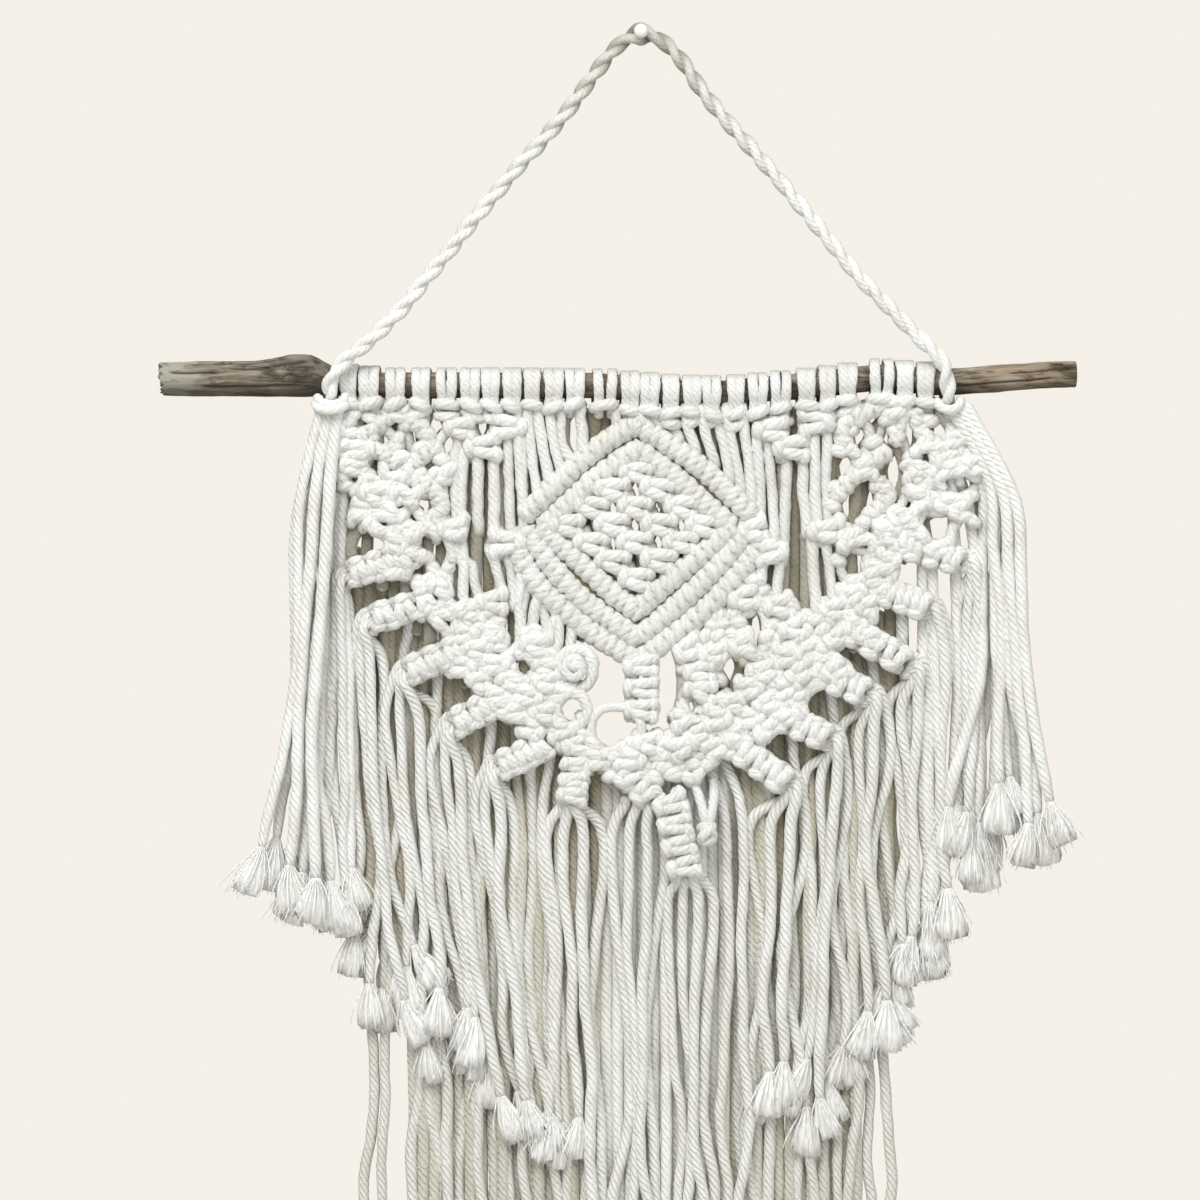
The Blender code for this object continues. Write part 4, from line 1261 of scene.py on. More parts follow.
@dataclass
class Panel:
    """The knotted panel under the branch."""

    cord: float = 2.05
    slot: str = "cotton"
    node: str = "knotted_panel"

    def build(self, wood: "Branch", finish: bpy.types.Material) -> list:
        """Ties every part of the panel.

        Args:
            wood: The branch.
            finish: The cotton.

        Returns:
            The panel's pieces.
        """
        heads = CordMesh("larks_heads")
        LarksHeads().tie(heads, wood, Hand(Seed.HEADS))
        bars = CordMesh("hitch_bars")
        hand = Hand(Seed.BARS)
        for bar in (*DIAMOND, *LEAVES):
            bar.tie(bars, hand)
        # The filler cords take almost full painted shade on their fronts.
        for line in PAINTED_SHADE_CORDS:
            path = smooth(route(line, PANEL_DEPTH - 1.6), 2.2)
            bars.add(path, 2.1, Section.PLAIN, hand.tone(), 0.95)
        net = CordMesh("diamond_net", PANEL_DEPTH + 4.4, PANEL_DEPTH - 1.8, 0.92)
        Knots("net", Hand(Seed.NET), 2.15).fill(net, self.net_knots(Hand(Seed.NET_PLACES)), False)
        # Painted shade for the left band and the upper knots: none 3 mm in front of the panel's
        # plane, fullest 1.4 mm behind it.
        crevice_shade_range = (PANEL_DEPTH + 3.0, PANEL_DEPTH - 1.4, 0.92)
        left = CordMesh("band_left", *crevice_shade_range)
        right = CordMesh("band_right", PANEL_DEPTH + 2.4, PANEL_DEPTH - 1.8, 0.84)
        seeds = (Seed.LEFT_BAND, Seed.RIGHT_BAND)
        for mesh, band, seed in zip((left, right), BANDS, seeds):
            Knots("band", Hand(seed)).fill(mesh, band.knots(Hand(seed + 10)))
            band.nubs(mesh, Hand(seed + 20))
        upper = CordMesh("upper_knots", *crevice_shade_range)
        Knots("upper", Hand(Seed.UPPER)).fill(upper, list(UPPER))
        hand = Hand(Seed.CORNERS)
        for corner in CORNERS:
            corner.nubs(upper, hand, PANEL_DEPTH - 1.0)
        teeth = CordMesh("teeth")
        Knots("teeth", Hand(Seed.TEETH), 1.95).fill(
            teeth, [k for tooth in (*TEETH, *SINNETS) for k in tooth.chain()], False
        )
        strands = CordMesh("panel_strands")
        self.strands(strands, Hand(Seed.STRANDS))
        self.trims(strands, Hand(Seed.TRIMS))
        rear = CordMesh("rear_strands")
        Rear().hang(rear, Hand(Seed.REAR))
        made = []
        for mesh in (heads, bars, net, left, right, upper, teeth, strands, rear):
            piece = mesh.build(finish)
            keep(piece, self.slot, self.node)
            made.append(piece)
            LOG.info("%s: %.1f m of cord", mesh.name, mesh.total / 1000.0)
        return made

    def net_knots(self, hand: Hand) -> list:
        """The diamond's sixteen knots."""
        return [
            SquareKnot(
                636 + (i - (count - 1) / 2.0) * 45 + hand.slip(1.4), row + hand.slip(1.2),
                13.2, 7.9, -12.0 + hand.slip(4.0), False, PANEL_DEPTH - 0.2 + hand.slip(0.3),
            )
            for r, (row, count) in enumerate(NET_ROWS)
            for i in range(count)
        ]  # fmt: skip

    def strands(self, mesh: CordMesh, hand: Hand) -> None:
        """The strands that run from knot to knot."""
        for run in RUNS:
            for i in range(run.count):
                t = i / max(1, run.count - 1)
                spots = [
                    (*partway(*row, t), run.depth + hand.slip(0.8))
                    for row in (run.tops, run.knees, run.feet)
                ]
                (x, z, y), (e, g, f) = spots[0], spots[-1]
                spots = [(x, z - 7, y - 3.6), *spots, (e, g + 8, f - 4.0)]
                path = smooth(route(tuple(spots)), 2.0)
                path[:, 0] += hand.drift(len(path), run.bow * 0.5, 0.7)
                path = even(parted(path, self.cord), 1.4)
                mesh.add(path, self.cord * (1.0 + hand.slip(0.08)), Section.KNOTTED, hand.tone())

    def trims(self, mesh: CordMesh, hand: Hand) -> None:
        """The loop beside the sinnet, the rolled knot and the small knot by the tail."""
        loops = (
            (1.8, ((600, 748, 15.5), (592, 737, 16.5), (593, 720, 17.5), (602, 709, 18.2),
                   (622, 707, 18.4), (634, 713, 18.4), (641, 725, 18), (638, 744, 16))),
            (2.3, ((566, 692, 15.5), (558, 681, 16.5), (559, 664, 17.5), (568, 652, 18),
                   (582, 650, 18.4), (591, 658, 18.4), (593, 671, 18), (588, 684, 17.4),
                   (577, 691, 16))),
            (2.1, ((560, 700, 15.5), (567, 694, 17), (578, 694, 18), (586, 702, 18.4),
                   (587, 714, 18.2), (580, 725, 17), (573, 731, 15.5))),
            (2.0, ((566, 694, 15.5), (558, 701, 17), (557, 713, 17.4), (563, 724, 16.5),
                   (570, 730, 15))),
            (1.9, ((583, 669, 18), (577, 659, 19.5), (568, 662, 19.5), (566, 671, 19),
                   (574, 677, 19.5), (581, 671, 20), (577, 665, 20.5), (572, 668, 20.5))),
            (1.8, ((692, 780, 13), (698, 794, 16), (703, 810, 17.5), (706, 826, 17.5))),
            (1.8, ((714, 780, 13), (714, 798, 16), (711, 814, 17), (707, 828, 17.5))),
            (1.8, ((571, 661, 17.0), (575, 667, 19.2), (572, 671, 17.0))),
            (1.8, ((700, 828, 17.2), (705, 826, 19.4), (711, 830, 19.4), (713, 835, 17.2))),
            (1.8, ((713, 826, 17.2), (709, 829, 20.0), (703, 835, 20.0), (700, 840, 17.2))),
            (1.8, ((702, 842, 17.0), (708, 841, 18.6), (713, 838, 17.0))),
        )  # fmt: skip
        for radius, loop in loops:
            mesh.add(smooth(route(loop), 1.0), radius, Section.KNOTTED, hand.tone())


def keep(piece: bpy.types.Object, slot: str, *nodes: str) -> None:
    """Hangs a piece on the object, in place of the CAD nodes it stands for."""
    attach(piece, BODY)
    if nodes:
        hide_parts(*nodes)


# ---------------------------------------------------------------- fringes


@dataclass(frozen=True)
class Lock:
    """Strands that leave one place together, and where each ends."""

    tops: tuple
    knees: tuple
    ends: tuple
    depth: float = FRONT_DEPTH
    top_depth: float = 13.0
    sway: float = 3.6
    lead: tuple = (0.0, 0.0)
    # gloom scales the painted shade that its fringe gives the lock's strands.
    gloom: float = 1.0


@dataclass
class Tuft:
    """The fan of loose fibre at a strand's cut end."""

    length: float = 13.0
    spread: float = 4.6
    fibres: int = 26
    flat: float = 0.52
    neck: float = 1.35

    def brush(self, mesh: CordMesh, end: np.ndarray, way: np.ndarray, hand: Hand) -> None:
        """Adds the fan, and loose fibres over it and past its edge.

        Args:
            mesh: What they join.
            end: The strand's end.
            way: The direction it points in.
            hand: What makes each fibre different.
        """
        way = way / np.linalg.norm(way)
        side = np.cross(way, np.array([0.0, 1.0, 0.0]))
        side /= np.linalg.norm(side)
        deep = np.cross(way, side)
        sides = Section.BRUSH.value[0]
        sweep = hand.slip(4.2)
        t = np.array([-0.30, 0.0, 0.22, 0.44, 0.68, 0.90])
        bend = (sweep * np.maximum(t, 0.0) ** 1.5)[:, None]
        core = end + way * (t * self.length)[:, None] + side * bend
        rise = np.sin(np.clip(t / 0.80, 0.0, 1.0) * math.pi / 2.0)
        wide = self.neck + (self.spread - self.neck) * rise**1.15
        wide[0] = 0.9
        pleat = np.array([hand.slip(1.0) for _ in range(sides)])
        jag = np.array([hand.slip(1.0) for _ in range(sides)])
        open_up = np.clip(t / 0.90, 0.0, 1.0)[:, None]

        def shape(ring: np.ndarray) -> np.ndarray:
            """The round drawn flat, pleated and ragged at its end."""
            off = ring - core[:, None]
            thin = 1.0 - (1.0 - self.flat) * open_up
            off = off + deep * ((off @ deep) * (thin - 1.0))[..., None]
            off *= (1.0 + 0.20 * pleat * open_up)[..., None]
            return core[:, None] + off + way * (2.6 * jag * open_up**4)[..., None]

        fade = np.array([0.6, 0.5, 0.2, 0.0, 0.0, 0.0])
        mesh.add(core, wide, Section.BRUSH, hand.tone(), fade, press=shape)
        for i in range(self.fibres):
            across = -1.0 + 2.0 * (i + hand.dice.random()) / self.fibres
            over = math.sqrt(max(0.0, 1.0 - across**2)) * (1.0 if i % 3 else -1.0)
            length = self.length * (hand.dice.uniform(0.86, 1.14) - 0.10 * across**2)
            stray = hand.dice.uniform(0.92, 1.16) if i % 6 else 1.7
            t = np.linspace(0.02, 1.0, 5)[:, None]
            out = self.neck + (self.spread * stray - self.neck) * np.sin(t * 1.45) ** 1.15
            path = (
                end + way * t * length + side * (across * out + sweep * t**1.5)
                - deep * over * out * (1.0 - (1.0 - self.flat) * t) * 1.02
            )  # fmt: skip
            taper = np.array([0.20, 0.30, 0.32, 0.28, 0.12]) * hand.dice.uniform(0.8, 1.2)
            mesh.add(path, taper, Section.FIBRE, hand.tone())


@dataclass
class Fringe:
    """A fringe: its strands, and a tuft at the end of each."""

    name: str
    node: str
    locks: tuple
    seed: int
    section: Section = Section.STRAND
    radius: float = 2.0
    shading: tuple = (12.0, 5.0, 0.52)
    # under: painted shade along the strands, and at their tops under the knots.
    under: tuple = (0.0, 0.0)
    tuft: tuple = (16.0, 4.6, 30)
    few: int = 5
    slot: str = "cotton"

    def build(self, finish: bpy.types.Material, fluff: bpy.types.Material) -> list:
        """Hangs the strands.

        Args:
            finish: The strands' cotton.
            fluff: The tufts' cotton.

        Returns:
            The strands and the tufts.
        """
        hand = Hand(self.seed)
        mesh = CordMesh(self.name, *self.shading)
        tufts = CordMesh(self.name + "_tufts", *self.shading)
        for lock in self.locks:
            count = len(lock.ends)
            for i, end in enumerate(lock.ends):
                t = i / max(1, count - 1)
                top, knee = (partway(*row, t) for row in (lock.tops, lock.knees))
                depth = lock.depth + (i % 3 - 0.8) * 1.9 + hand.slip(0.6)
                path = self.strand(lock, top, knee, end, depth, hand)
                taper = np.full(len(path), self.radius * (1.0 + hand.slip(0.08)))
                taper *= 1.0 + hand.drift(len(path), 0.045, lengths(path)[-1] / 16.0)
                left = lengths(path)[-1] - lengths(path)
                taper *= 0.78 + 0.22 * np.clip(left / 9.0, 0.0, 1.0)
                # Painted shade: the first value of under along the strand, rising to the second at
                # its top under the knots, scaled by the lock's gloom.
                high = np.clip((path[:, 2] + 340.0) / 70.0, 0.0, 1.0)
                deep = self.under[0] + (self.under[1] - self.under[0]) * high
                deep *= lock.gloom * hand.dice.uniform(0.72, 1.0)
                mesh.add(path, taper, self.section, hand.tone(), deep)
                long, wide, fibres = self.tuft
                size = hand.dice.uniform(0.85, 1.15)
                tuft = Tuft(long * size, wide * size, fibres)
                tuft.brush(tufts, path[-1], path[-1] - path[-6], hand)
        made = [mesh.build(finish), tufts.build(fluff)]
        for piece in made:
            keep(piece, self.slot, self.node)
        LOG.info("%s: %.1f m of cord in %d locks", self.name, mesh.total / 1000.0, len(self.locks))
        return made

    def strand(
        self, lock: Lock, top: tuple, knee: tuple, end: tuple, depth: float, hand: Hand
    ) -> np.ndarray:
        """One strand's line, from its top over its knee to its end."""
        rest = 4
        spots = [(*top, lock.top_depth)]
        if any(lock.lead):
            far = hand.dice.uniform(0.7, 1.1)
            spots.append((top[0] + lock.lead[0] * far, top[1] + lock.lead[1] * far, depth + 3.0))
        spots.append((*knee, depth + 1.0))
        for k in range(1, rest):
            t = k / rest
            spots.append(
                (knee[0] + (end[0] - knee[0]) * t**1.15, knee[1] + (end[1] - knee[1]) * t, depth)
            )
        spots.append((*end, depth + hand.slip(0.8)))
        path = smooth(route(tuple(spots)), 2.0)
        count = len(path)
        loose = np.linspace(0.0, 1.0, count) ** 0.7
        loose[: max(1, count // 10)] = 0.0
        span = lengths(path)[-1]
        if 2 < len(lock.ends) <= self.few:
            t = np.clip((top[1] - knee[1]) * SQUARE - path[:, 2] + path[0, 2], 0.0, None)
            t = t / t[-1]
            (a, b), ends = (lock.knees[0][0], lock.knees[1][0]), [e[0] for e in lock.ends]
            middle = place((a + b) / 2.0, 0.0)[0] * (1.0 - t)
            middle += place(sum(ends) / len(ends), 0.0)[0] * t
            pull = hand.dice.uniform(0.25, 0.85) * np.sin(math.pi * t) ** 2
            path[:, 0] += (middle - path[:, 0]) * pull
        path[:, 0] += hand.drift(count, lock.sway, span / 150.0) * loose
        path[:, 0] += hand.drift(count, lock.sway * 0.10, span / 34.0) * loose
        path[:, 1] += hand.drift(count, 0.7, span / 60.0) * loose
        return even(path, self.section.value[1])


def feet(first: float, apart: float, count: int, row: int) -> tuple:
    """A row of strands' ends, each third one lower than the last two."""
    return tuple((first + apart * i, row + 9 * (i % 3)) for i in range(count))


FRONT_LOCKS = (
    Lock(((347, 566), (351, 584)), ((328, 612), (350, 616)),
         ((300, 862), (322, 884), (342, 890), (356, 874)), lead=(-11, 4)),
    Lock(((371, 612), (376, 630)), ((352, 654), (380, 658)),
         ((352, 932), (374, 984), (396, 1000), (414, 946)), lead=(-11, 4)),
    Lock(((402, 664), (412, 682)), ((384, 712), (434, 712)),
         ((405, 968), (424, 1044), (438, 988), (466, 1032)), lead=(-6, 8)),
    Lock(((449, 716), (459, 734)), ((430, 764), (470, 768)),
         ((462, 1008), (478, 1018), (500, 1096), (488, 1060)), lead=(-7, 9)),
    Lock(((492, 758), (502, 776)), ((474, 806), (512, 808)),
         ((510, 1092), (530, 1108), (520, 1100), (546, 1112)), lead=(-6, 9)),
    Lock(((562, 802), (582, 804)), ((546, 834), (602, 836)),
         ((560, 1124), (574, 1118), (596, 1290), (606, 1296)), lead=(0, 6)),
    Lock(((626, 798), (660, 806)), ((612, 838), (664, 840)),
         ((618, 1300), (632, 1286), (646, 1304), (658, 1290)), lead=(0, 6)),
    Lock(((678, 878), (700, 874)), ((668, 904), (714, 904)),
         ((672, 1300), (686, 1312), (700, 1296), (714, 1306)), lead=(0, 6)),
    Lock(((708, 764), (724, 758)), ((726, 826), (744, 820)),
         ((728, 1290), (742, 1284)), top_depth=9.0),
    Lock(((782, 790), (794, 776)), ((752, 822), (806, 828)),
         ((750, 1086), (768, 1072), (786, 1062), (806, 1108)), lead=(7, 8)),
    Lock(((824, 746), (834, 730)), ((806, 776), (850, 782)),
         ((800, 1078), (812, 1060), (822, 1098), (846, 1048)), lead=(8, 7)),
    Lock(((862, 702), (874, 688)), ((842, 730), (890, 736)),
         ((846, 1040), (866, 1012), (880, 1000), (892, 990)), lead=(8, 7)),
    Lock(((904, 674), (914, 658)), ((888, 706), (930, 706)),
         ((890, 984), (906, 944), (918, 936), (936, 928)), lead=(10, 6)),
    Lock(((922, 614), (930, 600)), ((922, 648), (952, 650)),
         ((926, 934), (938, 912), (950, 888), (944, 900)), lead=(10, 5)),
    Lock(((962, 568), (968, 554)), ((962, 604), (988, 602)),
         ((956, 806), (970, 840), (962, 812), (986, 812)), lead=(11, 4)),
    Lock(((412, 606), (440, 600)), ((404, 660), (434, 690)),
         ((384, 990), (446, 1000)), 7.6, 11.5),
    Lock(((470, 712), (494, 702)), ((446, 740), (486, 770)),
         ((440, 1020), (478, 1040)), 7.6, 11.5),
    Lock(((530, 752), (552, 746)), ((530, 800), (544, 812)),
         ((534, 1104), (552, 1118)), 7.6, 11.5),
    Lock(((760, 756), (790, 722)), ((770, 800), (800, 790)),
         ((776, 1064), (826, 1080)), 7.6, 11.5),
    Lock(((830, 680), (852, 684)), ((836, 740), (866, 730)),
         ((836, 1046), (878, 1004)), 7.6, 11.5),
    Lock(((868, 616), (902, 606)), ((876, 700), (906, 690)),
         ((900, 960), (912, 940)), 7.6, 11.5),
)  # fmt: skip

BACK_LOCKS = (
    Lock(((372, 570), (384, 582)), ((368, 700), (382, 700)),
         ((366, 1300), (383, 1290)), BACK_DEPTH, 6.0),
    Lock(((408, 640), (580, 760)), ((412, 870), (586, 880)),
         ((418, 1300), (432, 1310), (446, 1296), (459, 1304), (472, 1298), (486, 1312),
          (500, 1300), (513, 1306), (527, 1296), (540, 1310), (554, 1302), (567, 1298),
          (580, 1306), (592, 1300)), BACK_DEPTH, 6.0),
    Lock(((727, 750), (856, 660)), ((734, 870), (858, 860)),
         ((740, 1306), (754, 1300), (767, 1310), (780, 1302), (794, 1296), (808, 1308),
          (822, 1304), (836, 1298), (850, 1306)), BACK_DEPTH, 6.0),
    Lock(((874, 640), (888, 630)), ((872, 760), (889, 760)),
         ((868, 1290), (886, 1300)), BACK_DEPTH, 6.0),
)  # fmt: skip

REAR_LOCKS = (
    Lock(((346, 536), (402, 604)), ((346, 650), (400, 700)),
         ((352, 850), (361, 905), (371, 930), (382, 962), (392, 968), (402, 984)),
         2.6, 6.0, 0.8),
    Lock(((412, 618), (596, 765)), ((412, 860), (596, 880)),
         feet(412, 11.5, 17, 1292), 2.6, 6.0, 0.5),
    Lock(((736, 750), (858, 636)), ((736, 870), (858, 860)),
         feet(736, 11.1, 12, 1290), 2.6, 6.0, 0.5),
    Lock(((868, 622), (904, 592)), ((868, 760), (904, 720)),
         ((866, 960), (880, 950), (894, 930), (906, 915)), 2.6, 6.0, 0.8),
)  # fmt: skip

CENTRE_LOCKS = (
    Lock(((607, 765), (725, 752)), ((607, 880), (725, 880)),
         feet(607, 11.8, 11, 1290), 4.2, 6.0, 0.5),
)  # fmt: skip

LEFT_LOCKS = (
    Lock(((322, 410), (338, 410)), ((300, 500), (330, 500)),
         ((262, 846), (290, 864), (318, 876)), 18.6, 18.6, 1.6),
    Lock(((320, 412), (340, 412)), ((298, 510), (326, 510)),
         ((278, 838), (304, 872), (330, 880)), 14.2, 15.0, 1.6),
    Lock(((340, 412), (350, 420)), ((330, 520), (342, 530)),
         ((310, 860), (352, 868)), 11.0, 12.5, 1.4),
    Lock(((328, 412), (346, 414)), ((308, 520), (338, 530)),
         ((292, 846), (320, 866), (342, 884)), 7.6, 11.5, 1.4),
)  # fmt: skip

RIGHT_LOCKS = (
    Lock(((950, 408), (966, 406)), ((988, 480), (1014, 500)),
         ((1000, 782), (1030, 822), (1050, 800)), 18.6, 18.6, 1.5),
    Lock(((948, 412), (962, 410)), ((982, 490), (1004, 500)),
         ((950, 806), (1006, 776), (1036, 812)), 14.2, 15.0, 1.5),
    Lock(((946, 440), (970, 452)), ((972, 520), (996, 530)),
         ((985, 838), (1016, 790)), 11.0, 12.5, 1.3),
    Lock(((952, 420), (964, 430)), ((982, 500), (1008, 512)),
         ((972, 816), (1000, 826), (1026, 800)), 7.6, 11.5, 1.3),
    Lock(((952, 476), (968, 500)), ((958, 600), (982, 604)),
         ((956, 800), (980, 822)), 9.4, 13.0, 1.2),
    Lock(((923, 556), (932, 556)), ((924, 606), (935, 610)),
         ((930, 902), (946, 884)), 11.2, 12.6, 1.2),
)  # fmt: skip

FRINGES = (
    Fringe("front_strands", "front_fringe", FRONT_LOCKS, Seed.FRONT),
    Fringe("back_strands", "back_fringe", BACK_LOCKS, Seed.BACK, Section.PLAIN, 2.0,
           (5.0, 1.0, 0.3), (0.30, 0.68), (14.0, 4.4, 12)),
    Fringe("rear_fringe", "back_fringe", REAR_LOCKS, Seed.REAR_FRINGE, Section.BEHIND, 2.35,
           (5.0, 1.0, 0.5), (0.55, 0.90), (13.0, 4.2, 8)),
    Fringe("centre_strands", "back_fringe", CENTRE_LOCKS, Seed.CENTRE, Section.PLAIN, 2.35,
           (7.0, 1.0, 0.12), (0.0, 0.18), (13.0, 4.2, 8)),
    Fringe("left_strands", "left_fringe", LEFT_LOCKS, Seed.LEFT, radius=2.15,
           shading=(14.0, 6.0, 0.3), tuft=(18.0, 5.6, 44)),
    Fringe("right_strands", "right_fringe", RIGHT_LOCKS, Seed.RIGHT, radius=2.15,
           shading=(14.0, 6.0, 0.3), tuft=(17.0, 5.2, 40)),
)


PALE = ("centre_strands", "left_strands", "right_strands")


@dataclass
class HangingCord:
    """Two cords twisted together, over the peg and round the branch at both ends."""

    left: tuple = (
        (-4.7, -12.0, -2.0), (-9.2, -12.2, -5.4), (-14.8, -12.6, -12.0), (-28.0, -13.4, -30.0),
        (-51.0, -15.0, -56.5), (-72.5, -17.0, -83.0), (-94.0, -19.4, -108.5),
        (-107.0, -22.2, -119.5),
    )  # fmt: skip
    right: tuple = (
        (4.7, -12.0, -1.5), (9.0, -12.2, -4.2), (16.2, -12.6, -12.0), (26.0, -13.4, -26.0),
        (49.5, -15.0, -53.0), (72.0, -17.0, -80.5), (93.0, -19.2, -103.5),
        (107.0, -21.6, -118.0),
    )  # fmt: skip
    apex: tuple = (0.0, -12.0, -0.4)
    turns: tuple = ((-111.4, -1.0), (110.0, 1.0))
    pitch: float = 19.0
    offset: float = 1.2
    cord: float = 1.78
    parted: float = 2.6
    ties: tuple = (
        ((316, 404, 19), (320, 409, 22.4), (332, 411, 24.2), (344, 408, 22.6), (347, 402, 19)),
        ((318, 398, 18), (322, 403, 22), (334, 406, 23.6), (344, 402, 21.6), (346, 396, 18)),
        ((936, 402, 18), (940, 408, 21.5), (948, 411, 22.6), (957, 407, 21), (960, 400, 18)),
    )
    tie_cord: float = 1.75

    def build(self, wood: "Branch", finish: bpy.types.Material) -> bpy.types.Object:
        """Twists the two cords and ties them off.

        Args:
            wood: The branch.
            finish: The cotton.

        Returns:
            The piece.
        """
        hand = Hand(Seed.HANGER)
        path = [
            *reversed(self.turn(wood, *self.turns[0])), *reversed(self.left), self.apex,
            *self.right, *self.turn(wood, *self.turns[1]),
        ]  # fmt: skip
        line = smooth(np.array(path), 0.82)
        count = len(line)
        line[:, 0] += hand.drift(count, 0.25, 7.0)
        line[:, 2] += hand.drift(count, 0.35, 5.0)
        along = lengths(line)
        top = int(np.argmin(np.linalg.norm(line - np.array(self.apex), axis=1)))
        run = along - along[top]
        tangents = np.gradient(line, axis=0)
        tangents /= np.linalg.norm(tangents, axis=1, keepdims=True)
        across = np.cross(tangents, np.array([0.0, 1.0, 0.0]))
        across /= np.maximum(np.linalg.norm(across, axis=1, keepdims=True), 1e-6)
        deep = np.cross(tangents, across)
        angle = 2 * math.pi * run / self.pitch
        near = np.exp(-((run / 3.6) ** 2))
        reach = self.offset + (self.parted - self.offset) * near
        reach *= 1.0 + hand.drift(count, 0.05, 11.0)
        mesh = CordMesh("hanging_cord_twist")
        for half in (0.0, math.pi):
            ply = line + reach[:, None] * (
                np.cos(angle + half)[:, None] * across + np.sin(angle + half)[:, None] * deep
            )
            mesh.add(even(ply, 1.1), self.cord, Section.STRAND, hand.tone())
        for tie in self.ties:
            mesh.add(smooth(route(tie), 1.1), self.tie_cord, Section.STRAND, hand.tone())
        made = mesh.build(finish)
        keep(made, "cotton", "hanging_cord")
        LOG.info("hanging cord: %.2f m of line", along[-1] / 1000.0)
        return made

    def turn(self, wood: "Branch", x: float, step: float) -> list:
        """The turn under the branch at x, from its front to its back."""
        centre, girth = wood.at(x)
        radius = 8.4 + girth - 4.9
        return [
            (
                x + step * 0.2 * i, -BRANCH_DEPTH - radius * math.cos(a),
                centre - radius * math.sin(a),
            )
            for i, a in enumerate(math.radians(d) for d in range(5, 215, 30))
        ]  # fmt: skip


# ---------------------------------------------------------------- wood and peg


def start_clean() -> None:
    """Leaves edit mode with nothing selected."""
    if bpy.context.mode != "OBJECT":
        bpy.ops.object.mode_set(mode="OBJECT")
    bpy.ops.object.select_all(action="DESELECT")


def soften(made: bpy.types.Object) -> None:
    """Ends the drawing out of a piece in edit mode, and rounds it by subdivision."""
    bpy.ops.mesh.select_all(action="SELECT")
    bpy.ops.mesh.normals_make_consistent(inside=False)
    bpy.ops.object.mode_set(mode="OBJECT")
    soft = made.modifiers.new("soft", "SUBSURF")
    soft.levels = soft.render_levels = 2
    settle(made)


def paint(made: bpy.types.Object, finish: bpy.types.Material, slot: str, node: str) -> None:
    """Gives a piece its one finish and its place on the object."""
    made.data.materials.clear()
    made.data.materials.append(finish)
    keep(made, slot, node)


def settle(made: bpy.types.Object, angle: float = 60.0) -> None:
    """Applies a piece's place and modifiers, and smooths it."""
    start_clean()
    bpy.context.view_layer.objects.active = made
    made.select_set(True)
    bpy.ops.object.transform_apply(location=True, rotation=True, scale=True)
    for modifier in list(made.modifiers):
        bpy.ops.object.modifier_apply(modifier=modifier.name)
    bpy.ops.object.shade_smooth_by_angle(angle=math.radians(angle))
    made.select_set(False)


